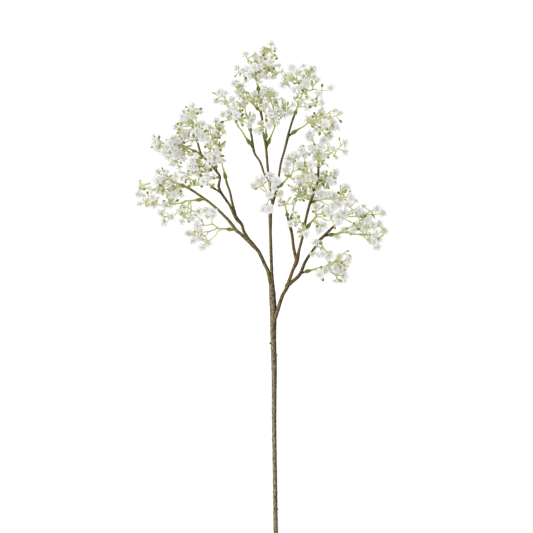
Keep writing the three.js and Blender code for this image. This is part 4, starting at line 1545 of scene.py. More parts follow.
@dataclass
class Sleeve:
    """The green sleeve at the foot of a spray: a spindle that wraps the stalk's start.

    Its profile is a radius at each share of its length.
    """

    sides: int = 12
    lobes: float = 0.07
    lobe_count: int = 3
    foot_tone: float = 0.64
    belly_tone: float = 0.36
    fade: float = 0.4
    profile: Profile = (
        (1.1, -0.02), (1.4, 0.05), (1.95, 0.14), (2.35, 0.25), (2.45, 0.35), (2.2, 0.48),
        (1.75, 0.64), (1.3, 0.8), (1.02, 0.94), (0.88, 1.06),
    )

    def mesh(self, stalk: Stalk, shift: Array) -> Mesh:
        """Makes the sleeve of a stalk.

        Args:
            stalk: the stalk.
            shift: the growth's place in the frame.

        Returns:
            the mesh, in its place.
        """
        shape = ShapeMaker()
        profile = tuple((radius, share * stalk.length) for radius, share in self.profile)
        shape.turned(profile, self.sides, self.lobes, self.lobe_count)
        mesh = shape.mesh("sleeve")
        rises = np.array(shape.rises)
        belly = self.belly_tone * np.sin(np.pi * rises)
        store(mesh, "tone", self.foot_tone + belly - self.fade * rises)
        turn = Vector(UP).rotation_difference(Vector(stalk.direction))
        mesh.transform(Matrix.Translation(Vector(stalk.foot + shift) * MM) @ turn.to_matrix().to_4x4())
        return mesh


# ---- geometry node trees ----


class NodeMaker:
    """A node tree that is being built."""

    def __init__(self, tree: NodeTree) -> None:
        """Starts work on a tree."""
        self.tree = tree

    def socket(self, name: str, kind: str, way: str = "INPUT") -> None:
        """Adds a socket to the tree's interface."""
        self.tree.interface.new_socket(name, in_out=way, socket_type=f"NodeSocket{kind}")

    def feed(self, node: Node, values: dict[str | int, object]) -> None:
        """Links sockets to a node's inputs, or sets their values.

        Args:
            node: the node.
            values: for each input, by name or number, the socket to link or the value to set.
        """
        for key, value in values.items():
            if isinstance(value, NodeSocket):
                self.tree.links.new(value, node.inputs[key])
            else:
                node.inputs[key].default_value = value

    def node(self, kind: str, values: dict | None = None, **settings: object) -> Node:
        """Adds a node.

        Args:
            kind: the node's type.
            values: what its inputs are fed.
            settings: the node's own properties.

        Returns:
            the node.
        """
        node = self.tree.nodes.new(kind)
        for name, value in settings.items():
            setattr(node, name, value)
        self.feed(node, values or {})
        return node

    def math(self, operation: str, *values: object) -> NodeSocket:
        """Returns the result of a sum of numbers or sockets."""
        return self.node("ShaderNodeMath", dict(enumerate(values)), operation=operation).outputs[0]

    def times(self, one: object, other: object) -> NodeSocket:
        """Returns one number times another."""
        return self.math("MULTIPLY", one, other)

    def plus(self, one: object, other: object) -> NodeSocket:
        """Returns one number and another."""
        return self.math("ADD", one, other)

    def vectors(self, operation: str, *values: object, output: str = "Vector") -> NodeSocket:
        """Returns the named output of a sum of vectors."""
        node = self.node("ShaderNodeVectorMath", dict(enumerate(values)), operation=operation)
        return node.outputs[output]

    def scaled(self, vector: NodeSocket, factor: NodeSocket) -> NodeSocket:
        """Returns a vector times a number."""
        values = {0: vector, "Scale": factor}
        return self.node("ShaderNodeVectorMath", values, operation="SCALE").outputs[0]


class TreeMaker(NodeMaker):
    """A geometry node tree that is being built."""

    def __init__(self, name: str) -> None:
        """Starts a tree with one geometry going in and one coming out.

        Args:
            name: the tree's name.
        """
        super().__init__(bpy.data.node_groups.new(name, "GeometryNodeTree"))
        self.tree.is_modifier = True
        self.socket("Geometry", "Geometry")
        self.socket("Geometry", "Geometry", "OUTPUT")
        self.inputs = self.node("NodeGroupInput")
        self.outputs = self.node("NodeGroupOutput")

    def named_input(self, name: str, kind: str) -> NodeSocket:
        """Adds a named input to the tree and returns its socket."""
        self.socket(name, kind)
        return self.inputs.outputs[name]

    def stored(self, geometry: NodeSocket, name: str, value: NodeSocket, kind: str = "FLOAT") -> NodeSocket:
        """Returns the geometry with a value stored on its points under a name."""
        values = {"Geometry": geometry, "Name": name, "Value": value}
        return self.node("GeometryNodeStoreNamedAttribute", values, data_type=kind).outputs[0]

    def attribute(self, name: str, kind: str = "FLOAT") -> NodeSocket:
        """Returns the socket that reads a named attribute."""
        return self.node("GeometryNodeInputNamedAttribute", {"Name": name}, data_type=kind).outputs[0]

    def finish(self, geometry: NodeSocket, material: NodeSocket) -> NodeTree:
        """Ends the tree in smooth, real geometry with its material.

        Args:
            geometry: what the tree has made.
            material: the material that it gets.

        Returns:
            the tree.
        """
        real = self.node("GeometryNodeRealizeInstances", {"Geometry": geometry})
        smooth = self.node("GeometryNodeSetShadeSmooth", {"Geometry": real.outputs[0]})
        values = {"Geometry": smooth.outputs[0], "Material": material}
        dressed = self.node("GeometryNodeSetMaterial", values)
        self.feed(self.outputs, {0: dressed.outputs[0]})
        return self.tree


KEY_LIGHT_WAY = (-0.80, 0.28, 0.53)  # the way the key light comes from; the bark is painted lighter on the side that faces it, darker on the other


def swept_tree() -> NodeTree:
    """Builds the tree that sweeps a round section along edges, roughened by bark, and stores how far each
    place faces the key light, for the bark's painted highlight and shade.

    The grain that it stores follows each strand: its first two parts go round the section, and the third
    goes along it, squeezed, so that a pattern on it is drawn out lengthwise.

    Returns:
        the tree.
    """
    maker = TreeMaker("swept strands")
    sides = maker.named_input("Sides", "Int")
    relief, pattern_scale, squeeze = (
        maker.named_input(name, "Float") for name in ("Relief", "Pattern Scale", "Squeeze")
    )
    material = maker.named_input("Material", "Material")
    lines = maker.node("GeometryNodeMeshToCurve", {"Mesh": maker.inputs.outputs["Geometry"]}).outputs[0]
    along = maker.times(maker.node("GeometryNodeSplineParameter").outputs["Length"], squeeze)
    lines = maker.stored(lines, "along", along)
    lines = maker.stored(lines, "girth", maker.attribute("radius"))
    values = {"Resolution": sides, "Radius": 1.0}
    section = maker.node("GeometryNodeCurvePrimitiveCircle", values).outputs[0]
    around = maker.node("GeometryNodeInputPosition").outputs[0]
    section = maker.stored(section, "around", around, "FLOAT_VECTOR")
    radius = maker.attribute("radius")
    values = {"Curve": lines, "Profile Curve": section, "Scale": radius, "Fill Caps": True}
    tube = maker.node("GeometryNodeCurveToMesh", values).outputs[0]
    lengthwise = maker.node("ShaderNodeCombineXYZ", {2: maker.attribute("along")}).outputs[0]
    crosswise = maker.scaled(maker.attribute("around", "FLOAT_VECTOR"), maker.attribute("girth"))
    grain = maker.vectors("ADD", crosswise, lengthwise)
    tube = maker.stored(tube, "grain", grain, "FLOAT_VECTOR")
    values = {"Vector": maker.attribute("grain", "FLOAT_VECTOR"), "Scale": pattern_scale, "Detail": 3.0}
    noise = maker.node("ShaderNodeTexNoise", values).outputs[0]
    raised = maker.times(maker.math("SUBTRACT", noise, 0.5), relief)
    aged = maker.times(raised, maker.attribute("tone"))
    normal = maker.node("GeometryNodeInputNormal").outputs[0]
    rough = maker.node("GeometryNodeSetPosition", {"Geometry": tube, "Offset": maker.scaled(normal, aged)})
    # painted light: how far each place faces the key light, from 0 to 1
    light_dot = maker.vectors("DOT_PRODUCT", normal, KEY_LIGHT_WAY, output="Value")
    sunward = maker.plus(maker.times(light_dot, 0.5), 0.5)
    return maker.finish(maker.stored(rough.outputs[0], "sunward", sunward), material)


def scatter_tree() -> NodeTree:
    """Returns:
        the tree.
    """
    maker = TreeMaker("heads on stalks")
    kit = maker.named_input("Kit", "Collection")
    material = maker.named_input("Material", "Material")
    shapes = maker.node("GeometryNodeCollectionInfo", {"Collection": kit, 1: True, 2: True})
    spots = maker.node("GeometryNodeMeshToPoints", {"Mesh": maker.inputs.outputs["Geometry"]})
    values = {
        "Points": spots.outputs[0],
        "Instance": shapes.outputs[0],
        "Pick Instance": True,
        "Instance Index": maker.attribute("kind", "INT"),
        "Rotation": maker.attribute("turn", "QUATERNION"),
        "Scale": maker.attribute("size", "FLOAT_VECTOR"),
    }
    return maker.finish(maker.node("GeometryNodeInstanceOnPoints", values).outputs[0], material)


def run_tree(mesh: Mesh, tree: NodeTree, values: dict[str, object]) -> Mesh:
    """Runs a tree on a mesh, and removes that mesh.

    Args:
        mesh: what goes into the tree.
        tree: the geometry node tree.
        values: the tree's inputs by name.

    Returns:
        the plain mesh that the tree makes.
    """
    piece = object_of(mesh.name, mesh)
    modifier = piece.modifiers.new(tree.name, "NODES")
    modifier.node_group = tree
    names = {item.name: item.identifier for item in tree.interface.items_tree if item.in_out == "INPUT"}
    for name, value in values.items():
        modifier[names[name]] = value
    graph = bpy.context.evaluated_depsgraph_get()
    evaluated = piece.evaluated_get(graph)
    made = bpy.data.meshes.new_from_object(evaluated, preserve_all_data_layers=True, depsgraph=graph)
    bpy.data.objects.remove(piece)
    bpy.data.meshes.remove(mesh)
    return made


# ---- finishes ----


class ShaderMaker(NodeMaker):
    """A material, or a shader group, that is being built."""

    def __init__(self, tree: NodeTree, mottle: NodeTree | None = None) -> None:
        """Starts work on a tree, with the mottle group that a material uses."""
        super().__init__(tree)
        self.mottle_group = mottle

    def attribute(self, name: str, output: str = "Fac") -> NodeSocket:
        """Returns what a mesh holds under a name: a number, or a vector if the output is Vector."""
        node = self.node("ShaderNodeAttribute", attribute_name=name, attribute_type="GEOMETRY")
        return node.outputs[output]

    def place(self) -> NodeSocket:
        """Returns the place on the piece."""
        return self.node("ShaderNodeTexCoord").outputs["Object"]

    def mottle(self, vector: NodeSocket, scale: float, fineness: float) -> bpy.types.bpy_prop_collection:
        """Returns the masks and the height of the mottle group, by name."""
        values = {"Vector": vector, "Scale": scale, "Fineness": fineness}
        return self.node("ShaderNodeGroup", values, node_tree=self.mottle_group).outputs

    def mixed(self, share: NodeSocket, *colours: NodeSocket | Triple) -> NodeSocket:
        """Returns a colour a share of the way from one to another."""
        first, second = (colour if isinstance(colour, NodeSocket) else (*colour, 1) for colour in colours)
        return self.node("ShaderNodeMix", {0: share, 6: first, 7: second}, data_type="RGBA").outputs[2]

    def ranged(self, value: NodeSocket, low: float, high: float) -> NodeSocket:
        """Returns 0 where a value is low, 1 where it is high, and an even rise between them."""
        return self.node("ShaderNodeMapRange", {0: value, 1: low, 2: high}).outputs[0]

    def surface(self, values: dict, height: NodeSocket | None = None, depth: float = 0) -> None:
        """Feeds the material's shader.

        Args:
            values: its colour and its other inputs, by name.
            height: how far each place stands out, if anything does.
            depth: what a height of 1 comes to, in metres.
        """
        shader = self.tree.nodes["Principled BSDF"]
        self.feed(shader, values)
        if height:
            bump = self.node("ShaderNodeBump", {"Height": height, "Strength": 0.6, "Distance": depth})
            self.feed(shader, {"Normal": bump.outputs[0]})


def mottle_group() -> NodeTree:
    """Builds the shader group for uneven colour: a coarse and a fine mask, and a height.

    Returns:
        the group.
    """
    maker = ShaderMaker(bpy.data.node_groups.new("mottle", "ShaderNodeTree"))
    for name, kind in {"Vector": "Vector", "Scale": "Float", "Fineness": "Float"}.items():
        maker.socket(name, kind)
    for name in ("Coarse", "Fine", "Height"):
        maker.socket(name, "Float", "OUTPUT")
    given = maker.node("NodeGroupInput").outputs
    result = maker.node("NodeGroupOutput")
    values = {"Vector": given["Vector"], "Scale": given["Scale"], "Detail": 5.0, "Roughness": 0.6}
    coarse = maker.node("ShaderNodeTexNoise", values).outputs[0]
    finer = maker.times(given["Scale"], given["Fineness"])
    values = {"Vector": given["Vector"], "Scale": finer, "Detail": 3.0}
    fine = maker.node("ShaderNodeTexNoise", values).outputs[0]
    height = maker.plus(maker.times(coarse, 0.6), maker.times(fine, 0.4))
    masks = {"Coarse": maker.ranged(coarse, 0.32, 0.68), "Fine": maker.ranged(fine, 0.35, 0.65)}
    maker.feed(result, {**masks, "Height": height})
    return maker.tree


class Finish:
    """A finish whose material is built once."""

    name = "finish"

    def build(self, mottle: NodeTree) -> Material:
        """Builds the material.

        Args:
            mottle: the shader group for uneven colour.

        Returns:
            the material.
        """
        material = bpy.data.materials.new(self.name)
        material.use_nodes = True
        self.dress(ShaderMaker(material.node_tree, mottle))
        return material

    def dress(self, maker: ShaderMaker) -> None:
        """Adds the finish's own nodes."""
        raise NotImplementedError


@dataclass(frozen=True)
class Bark(Finish):
    """Bark: grey and speckled on old wood, olive and brown on limbs, with dark cracks and pale grains, a
    painted highlight on the side towards the key light and painted shade on the side away from it.
    """

    name: str = "bark"
    old: Triple = (0.33, 0.275, 0.19)
    foot: Triple = (0.36, 0.365, 0.215)
    warm: Triple = (0.21, 0.105, 0.035)
    twig: Triple = (0.18, 0.125, 0.035)
    # green streaks; also laid on the side towards the key light as a painted highlight
    green: Triple = (0.29, 0.295, 0.04)
    pale: Triple = (0.66, 0.58, 0.52)
    foot_reach: Pair = (-0.04, -0.15)
    brown_reach: Pair = (0.0, 0.05)
    green_reach: Pair = (-0.01, -0.06)
    crack_draw: float = 0.25
    crack: Triple = (0.022, 0.015, 0.008)
    # painted shade on the side away from the key light
    shade: Triple = (0.03, 0.014, 0.007)
    roughness: float = 0.8
    sheen: float = 0.12
    scale: float = 440
    relief: float = 0.0004

    def dress(self, maker: ShaderMaker) -> None:
        """Lays bark of each age, green streaks with a painted highlight, pale grains, painted shade, dark
        specks and cracks over one another.

        Args:
            maker: the material that is being built.
        """
        grain = maker.attribute("grain", "Vector")
        age = maker.attribute("tone")
        sunward = maker.attribute("sunward")
        parts = maker.node("ShaderNodeSeparateXYZ", {"Vector": maker.place()}).outputs
        drawn_out = maker.vectors("MULTIPLY", grain, (1, 1, self.crack_draw))
        patches = maker.mottle(grain, self.scale * 0.25, 6.0)
        specks = maker.mottle(grain, self.scale * 1.4, 2.0)
        cracks = maker.mottle(drawn_out, self.scale * 1.3, 3.0)
        trunk = maker.mixed(maker.ranged(parts["Y"], *self.foot_reach), self.old, self.foot)
        base = maker.mixed(maker.ranged(age, 0.6, 0.98), self.twig, trunk)
        patchy = maker.times(patches["Coarse"], 0.25)
        # random green patches, and a painted highlight on the side that faces the key light
        lit = maker.plus(patchy, maker.times(maker.ranged(sunward, 0.5, 0.95), 0.75))
        mossy = maker.times(maker.ranged(parts["X"], *self.green_reach), 0.4)
        youth = maker.math("SUBTRACT", 1.0, maker.times(age, 0.7))
        greened_and_highlit = maker.mixed(maker.times(maker.plus(lit, mossy), youth), base, self.green)
        browned = maker.times(maker.ranged(parts["X"], *self.brown_reach), 0.6)
        warmth = maker.times(maker.ranged(patches["Fine"], 0.4, 1.0), 0.5)
        warmed = maker.mixed(maker.math("MAXIMUM", warmth, browned), greened_and_highlit, self.warm)
        grains = maker.plus(specks["Fine"], specks["Coarse"])
        light = maker.times(maker.ranged(grains, 1.1, 1.8), age)
        grained = maker.mixed(maker.times(light, 0.8), warmed, self.pale)
        # painted shade: the side away from the key light is darkened
        shaded = maker.mixed(maker.times(maker.ranged(sunward, 0.84, 0.42), 0.86), grained, self.shade)
        dark = maker.times(maker.ranged(specks["Coarse"], 0.5, 0.15), 0.8)
        specked = maker.mixed(dark, shaded, self.crack)
        width = maker.math("ABSOLUTE", maker.math("SUBTRACT", cracks["Height"], 0.5))
        line = maker.ranged(width, 0.03, 0.0)
        cracked = maker.mixed(maker.times(line, 0.6), specked, self.crack)
        values = {"Base Color": cracked, "Roughness": self.roughness, "Specular IOR Level": self.sheen}
        maker.surface(values, maker.math("SUBTRACT", specks["Height"], maker.times(line, 0.2)), self.relief)


@dataclass(frozen=True)
class CutWood(Finish):
    """The cut end: pale wood in rings round a darker pith."""

    name: str = "cut_wood"
    wood: Triple = (0.62, 0.52, 0.3)
    ring: Triple = (0.42, 0.32, 0.15)
    pith: Triple = (0.3, 0.26, 0.13)
    centre: Triple = (0, 0, 0)
    pith_reach: Pair = (0.0007, 0.0004)
    ring_spacing: float = 0.00042
    scale: float = 2600
    roughness: float = 0.85

    def dress(self, maker: ShaderMaker) -> None:
        """Draws the rings by the distance from the pith.

        Args:
            maker: the material that is being built.
        """
        place = maker.place()
        off_centre = maker.vectors("SUBTRACT", place, self.centre)
        length = maker.vectors("LENGTH", off_centre, output="Value")
        pores = maker.mottle(place, self.scale, 3.0)
        wavy = maker.plus(length, maker.times(pores["Height"], self.ring_spacing))
        wave = maker.math("SINE", maker.times(wavy, math.tau / self.ring_spacing))
        rings = maker.mixed(maker.ranged(wave, 0.2, 1.0), self.wood, self.ring)
        grainy = maker.mixed(maker.times(pores["Fine"], 0.3), rings, self.pith)
        pithed = maker.mixed(maker.ranged(length, *self.pith_reach), grainy, self.pith)
        values = {"Base Color": pithed, "Roughness": self.roughness}
        maker.surface(values, pores["Height"], self.ring_spacing / 4)


@dataclass(frozen=True)
class GreenSkin(Finish):
    """The skin of stalks, sleeves, calyces and buds, from pale yellow-green to dark olive."""

    name: str = "green_skin"
    pale: Triple = (0.8, 0.82, 0.47)
    middle: Triple = (0.41, 0.46, 0.1)
    deep: Triple = (0.045, 0.07, 0.005)
    blush: Triple = (0.74, 0.7, 0.44)
    roughness: float = 0.6
    sheen: float = 0.2
    scale: float = 1500
    relief: float = 0.0001

    def dress(self, maker: ShaderMaker) -> None:
        """Colours by tone, with fine lengthwise lines and a paler mottle.

        Args:
            maker: the material that is being built.
        """
        tone = maker.attribute("tone")
        lines = maker.mottle(maker.attribute("grain", "Vector"), self.scale, 2.5)
        shaded = maker.plus(tone, maker.times(lines["Height"], 0.3))
        lifted = maker.math("SUBTRACT", shaded, 0.15)
        light = maker.mixed(maker.ranged(lifted, 0.05, 0.45), self.pale, self.middle)
        full = maker.mixed(maker.ranged(lifted, 0.45, 1.0), light, self.deep)
        youth = maker.ranged(tone, 0.7, 0.0)
        mottled = maker.mixed(maker.times(maker.times(lines["Coarse"], 0.35), youth), full, self.blush)
        values = {"Base Color": mottled, "Roughness": self.roughness, "Specular IOR Level": self.sheen}
        maker.surface(values, lines["Height"], self.relief)


@dataclass(frozen=True)
class Petal(Finish):
    """White petals, yellow-green at the heart, with cool folds, faint veins, and a faint painted glow of
    their own that stands in for light shining through them.
    """

    name: str = "petal"
    white: Triple = (0.83, 0.81, 0.87)
    fold: Triple = (0.66, 0.635, 0.73)
    heart: Triple = (0.6, 0.68, 0.2)
    unripe: Triple = (0.66, 0.74, 0.5)
    faded: Triple = (0.7, 0.67, 0.58)
    glow: Triple = (0.96, 0.96, 1.0)
    glow_strength: float = 0.12
    roughness: float = 0.7
    glow_through: float = 0.7
    glow_depth: float = 0.0015
    glow_radius: Triple = (1.0, 0.98, 0.94)
    scale: float = 520
    relief: float = 0.00025

    def dress(self, maker: ShaderMaker) -> None:
        """Colours from the heart out to the petals' tips.

        Args:
            maker: the material that is being built.
        """
        rise = maker.attribute("rise")
        tone = maker.attribute("tone")
        folds = maker.mottle(maker.place(), self.scale, 4.0)
        sheet = maker.mixed(maker.times(folds["Coarse"], 0.45), self.white, self.fold)
        aged = maker.mixed(maker.times(maker.ranged(tone, 0.6, 1.0), 0.5), sheet, self.faded)
        fresh = maker.mixed(maker.times(maker.ranged(tone, 0.27, 0.05), 0.4), aged, self.unripe)
        values = {
            "Base Color": maker.mixed(maker.ranged(rise, 0.66, 0.0), fresh, self.heart),
            "Roughness": self.roughness,
            "Subsurface Weight": self.glow_through,
            "Subsurface Radius": self.glow_radius,
            "Subsurface Scale": self.glow_depth,
            # painted glow: the petals give off a faint light of their own, though they are no lamp
            "Emission Color": (*self.glow, 1),
            "Emission Strength": self.glow_strength,
        }
        maker.surface(values, folds["Height"], self.relief)


@dataclass(frozen=True)
class PaleTable(Finish):
    """The plain pale floor, lit a little from within so that it stays even."""

    name: str = "pale_table"
    colour: Triple = (0.6, 0.6, 0.6)
    glow: float = 0.62

    def dress(self, maker: ShaderMaker) -> None:
        """Sets one even colour."""
        shine = {"Emission Color": (1, 1, 1, 1), "Emission Strength": self.glow}
        maker.surface({"Base Color": (*self.colour, 1), "Roughness": 1.0, **shine})


# ---- the pieces ----


@dataclass(frozen=True)
class Section:
    """What is swept along strands.

    It has so many sides, stands out by the relief where the pattern is high, in metres, and squeeze is
    how far the pattern is drawn out along a strand.
    """

    sides: int
    relief: float
    pattern_scale: float
    squeeze: float


@dataclass
class Workshop:
    """What the pieces are made with: materials, node trees and kits of shapes.

    shift is the growth's place in the frame, and pith is what the cut end's rings go round, in metres.
    """

    shift: Array
    pith: Array

    def __post_init__(self) -> None:
        """Builds the materials, trees and kits, once."""
        mottle = mottle_group()
        self.bark, self.cut_wood = Bark().build(mottle), CutWood(centre=tuple(self.pith)).build(mottle)
        self.green_skin, self.petal = GreenSkin().build(mottle), Petal().build(mottle)
        self.table = PaleTable().build(mottle)
        self.sweep, self.scatter = swept_tree(), scatter_tree()
        self.green_kit, self.bloom_kit = GreenKit().build(), BloomKit().build()

    def swept(self, strands: list[Strand], section: Section, material: Material) -> Mesh:
        """Sweeps a section along strands.

        Args:
            strands: the strands.
            section: what is swept along them.
            material: the material that they get.

        Returns:
            the mesh.
        """
        edges, first = [], 0
        for strand in strands:
            edges += [(first + index, first + index + 1) for index in range(len(strand.points) - 1)]
            first += len(strand.points)
        points = np.array([row for strand in strands for row in strand.points])
        mesh = mesh_of("strands", (points + self.shift) * MM, edges=edges)
        store(mesh, "radius", [radius * MM for strand in strands for radius in strand.radii])
        store(mesh, "tone", [age for strand in strands for age in strand.ages])
        sizes = {name.replace("_", " ").title(): size for name, size in vars(section).items()}
        return run_tree(mesh, self.sweep, {**sizes, "Material": material})

    def scattered(self, heads: list[Head], kit: Collection, material: Material) -> Mesh:
        """Puts shapes where heads stand.

        Args:
            heads: the heads.
            kit: the shapes.
            material: the material that they get.

        Returns:
            the mesh.
        """
        mesh = mesh_of("heads", (np.array([head.base for head in heads]) + self.shift) * MM)
        upright = [Vector(UP).rotation_difference(Vector(head.axis)) for head in heads]
        turns = [tuple(way @ Quaternion(UP, head.turn)) for way, head in zip(upright, heads)]
        store(mesh, "turn", turns, "QUATERNION")
        store(mesh, "size", [head.size for head in heads])
        store(mesh, "tone", [head.tone for head in heads])
        store(mesh, "kind", [head.kind for head in heads], "INT")
        return run_tree(mesh, self.scatter, {"Kit": kit, "Material": material})


@dataclass
class Wood:
    """The woody stem: the trunk, its limbs, a stub under each spray, and small knobs."""

    workshop: Workshop
    section: Section = Section(20, 0.0014, 420.0, 0.5)
    step: float = 0.9
    dome: Pair = (0.3, 1.45)
    dome_rings: int = 5
    thickening: float = 1.03
    swelling: float = 0.13
    swollen_at: float = 212
    swollen_reach: float = 50
    stub_radii: Pair = (1.5, 1.2)
    stub_age: float = 0.25
    knob_age: float = 0.6
    knob_rings: int = 9
    knob_pole: float = 0.15

    def build(self) -> Object:
        """Builds the wood and puts it in the place of its solid.

        Returns:
            the piece.
        """
        strands = [self._limb(limb) for limb in LIMBS.values()]
        strands += [self._stub(spray) for spray in SPRAYS.values()]
        strands += [self._knob(point(*centre), radius) for *centre, radius in KNOBS]
        mesh = self.workshop.swept(strands, self.section, self.workshop.bark)
        self._cut(mesh)
        piece = object_of("wood", mesh)
        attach(piece, "root")
        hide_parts("woody_stem")
        return piece

    def _limb(self, limb: Limb) -> Strand:
        """Smooths a limb and domes its end.

        Args:
            limb: the limb.

        Returns:
            its strand.
        """
        line, places = smooth_line([point(*row) for row in limb.line], self.step)
        ages = [between(limb.age, place) for place in places]
        points = [row[:3] for row in line]
        radii = [row[3] * self._swell(row[1]) for row in line]
        end, heading, radius = points[-1], unit(points[-1] - points[-2]), radii[-1]
        for turn in np.linspace(*self.dome, self.dome_rings):
            points.append(end + heading * radius * math.sin(turn))
            radii.append(radius * math.cos(turn))
            ages.append(limb.age[1])
        return Strand(points, radii, ages)

    def _swell(self, along: float) -> float:
        """Returns how much thicker the wood is than its solid, this far along the stem."""
        reach = (along - self.swollen_at) / self.swollen_reach
        return self.thickening + self.swelling * math.exp(-(reach**2))

    def _stub(self, spray: Spray) -> Strand:
        """Makes the short woody stub that a spray sits on.

        Args:
            spray: the spray's plan.

        Returns:
            its strand.
        """
        source, _, end = stub_of(spray)
        line, places = smooth_line([source, (source + end) / 2, end], self.step)
        radii = [between(self.stub_radii, place) for place in places]
        return Strand(line, radii, [self.stub_age] * len(line))

    def _knob(self, centre: Array, radius: float) -> Strand:
        """Makes a small round knob, where an old shoot has fallen.

        Args:
            centre: its middle.
            radius: its radius.

        Returns:
            its strand.
        """
        levels = np.cos(np.linspace(self.knob_pole, math.pi - self.knob_pole, self.knob_rings))
        points = [centre + point(0, radius * level, 0) for level in levels]
        radii = [radius * math.sqrt(1 - level**2) for level in levels]
        return Strand(points, radii, [self.knob_age] * self.knob_rings)

    def _cut(self, mesh: Mesh) -> None:
        """Cuts the trunk's foot off square, caps it with cut wood, and sets the wood on the table.

        Args:
            mesh: the wood.
        """
        mesh.materials.clear()
        mesh.materials.append(self.workshop.bark)
        mesh.materials.append(self.workshop.cut_wood)
        work = bmesh.new()
        work.from_mesh(mesh)
        cut = bmesh.ops.bisect_plane(
            work,
            geom=work.verts[:] + work.edges[:] + work.faces[:],
            plane_co=(0, self.workshop.shift[1] * MM, 0),
            plane_no=(0, -1, 0),
            clear_outer=True,
        )
        rim = [item for item in cut["geom_cut"] if isinstance(item, bmesh.types.BMEdge)]
        for face in bmesh.ops.edgeloop_fill(work, edges=rim)["faces"]:
            face.material_index = 1
            face.smooth = False
        for corner in work.verts:
            corner.co.z = max(corner.co.z, 0)
        bmesh.ops.recalc_face_normals(work, faces=work.faces[:])
        work.to_mesh(mesh)
        work.free()


@dataclass
class SprayPieces:
    """The green piece and the white piece of one spray."""

    workshop: Workshop
    sleeve: Sleeve = field(default_factory=Sleeve)
    section: Section = Section(6, 0.0001, 900.0, 0.15)

    def build(self, growth: SprayGrowth) -> tuple[Object, Object]:
        """Builds both pieces and puts them in the place of the spray's solid.

        Args:
            growth: the spray.

        Returns:
            the green piece and the white one.
        """
        fine = FineSpray(growth)
        fine.grow()
        greens = object_of(f"greens_{growth.name}", self._greens(fine))
        whites = object_of(f"blooms_{growth.name}", self._whites(fine))
        for piece in (greens, whites):
            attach(piece, "root")
            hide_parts(f"spray_{growth.name}")
        return greens, whites

    def _greens(self, fine: FineSpray) -> Mesh:
        """Makes the sleeve, stalks, bracts, calyces and buds.

        Args:
            fine: the spray as it looks.

        Returns:
            one mesh of them all.
        """
        skin = self.workshop.green_skin
        stalks = self.workshop.swept(fine.strands, self.section, skin)
        heads = self.workshop.scattered(fine.greens, self.workshop.green_kit, skin)
        sleeve = self.sleeve.mesh(fine.growth.stalk, self.workshop.shift)
        mesh = joined_mesh("greens", [sleeve, stalks, heads])
        mesh.materials.append(skin)
        settle(mesh)
        return mesh

    def _whites(self, fine: FineSpray) -> Mesh:
        """Makes the blooms and the petals of the opening buds.

        Args:
            fine: the spray as it looks.

        Returns:
            one mesh of them all.
        """
        mesh = self.workshop.scattered(fine.blooms, self.workshop.bloom_kit, self.workshop.petal)
        settle(mesh)
        return mesh


# ---- the studio ----


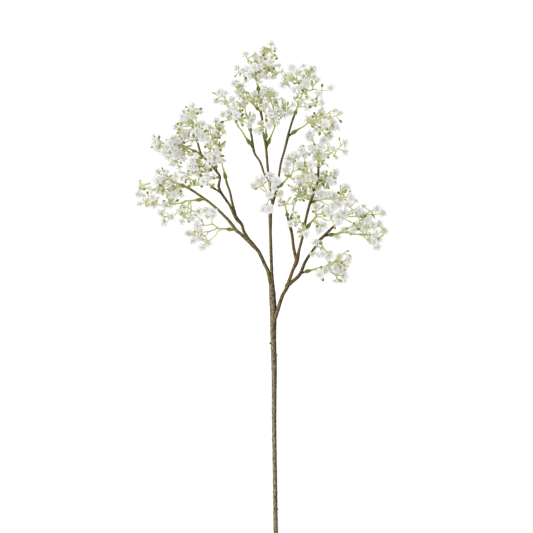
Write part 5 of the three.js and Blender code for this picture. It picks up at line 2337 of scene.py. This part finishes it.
@dataclass
class Studio:
    """A pale table, even light from all round, a soft main light, and the camera straight above."""

    table_size: float = 14
    table_gap: float = 0.0004
    sky: float = 0.84
    key_power: float = 130
    key_size: float = 4
    key_place: Triple = (-5.0, 2.0, 4.4)
    camera_height: float = 15
    mean_height: float = 0.06
    view_width: float = 0.6396
    view_centre: Pair = (-10.2, 328.2)
    sensor: float = 36

    def build(self, finish: Material, shift: Array) -> None:
        """Sets up the table, the light and the camera.

        Args:
            finish: the table's material.
            shift: the growth's place in the frame.
        """
        self._table(finish)
        self._light()
        self._camera(shift)

    def _table(self, material: Material) -> None:
        """Lays the table just under the stem.

        Args:
            material: its finish.
        """
        half = self.table_size / 2
        corners = ((-half, -half), (half, -half), (half, half), (-half, half))
        points = np.array([(*corner, -self.table_gap) for corner in corners])
        mesh = mesh_of("table", points, [(0, 1, 2, 3)])
        mesh.materials.append(material)
        object_of("table", mesh)

    def _light(self) -> None:
        """Lights the stem evenly, and a little more from the upper left."""
        world = bpy.data.worlds.new("studio")
        world.use_nodes = True
        sky = world.node_tree.nodes["Background"]
        sky.inputs["Color"].default_value = (1, 1, 1, 1)
        sky.inputs["Strength"].default_value = self.sky
        bpy.context.scene.world = world
        light = bpy.data.lights.new("key", "AREA")
        light.energy = self.key_power
        light.size = self.key_size
        key = object_of("key", light)
        key.location = self.key_place
        key.rotation_euler = (-Vector(self.key_place)).to_track_quat("-Z", "Y").to_euler()

    def _camera(self, shift: Array) -> None:
        """Looks straight down, from far enough that heights hardly change sizes.

        Args:
            shift: the growth's place in the frame.
        """
        data = bpy.data.cameras.new("camera")
        data.sensor_width = self.sensor
        data.lens = self.sensor * (self.camera_height - self.mean_height) / self.view_width
        data.clip_end = 10 * self.camera_height
        camera = object_of("camera", data)
        across, along = self.view_centre
        camera.location = ((across + shift[0]) * MM, (along + shift[1]) * MM, self.camera_height)
        bpy.context.scene.camera = camera
        bpy.context.scene.view_settings.view_transform = "Standard"


# ---- building the scene ----


def cut_centre() -> tuple[Array, Array]:
    """Finds the growth's place by the trunk's cut face, which lies at y = 0 in the growth.

    Returns:
        how far the growth lies from the frame's origin, in millimetres, and the cut's centre, in metres.
    """
    start, end = (point(*row) for row in LIMBS["trunk"].line[:2])
    crossing = start + (end - start) * (-start[1] / (end[1] - start[1]))
    low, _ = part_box("woody_stem")
    corners = points_of(bpy.data.objects["woody_stem"].data)
    slack = 1e-6
    face = corners[corners[:, 1] < low.y + slack]
    middle = (face.min(axis=0) + face.max(axis=0)) / 2
    return point(middle[0] / MM - crossing[0], low.y / MM, 0), middle


def main() -> None:
    """Builds the studio and every piece, and logs the growth's place and how many faces each new piece has.
    """
    logging.basicConfig(level=logging.INFO, format="%(message)s")
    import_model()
    shift, pith = cut_centre()
    LOG.info("growth lies at %s mm in the frame", shift.round(3))
    workshop = Workshop(shift, pith)
    Studio().build(workshop.table, shift)
    sprays = grown_sprays()
    wood = Wood(workshop).build()
    LOG.info("%s: %d faces", wood.name, len(wood.data.polygons))
    maker = SprayPieces(workshop)
    for spray in sprays:
        for piece in maker.build(spray):
            LOG.info("%s: %d faces", piece.name, len(piece.data.polygons))


if __name__ == "__main__":
    main()
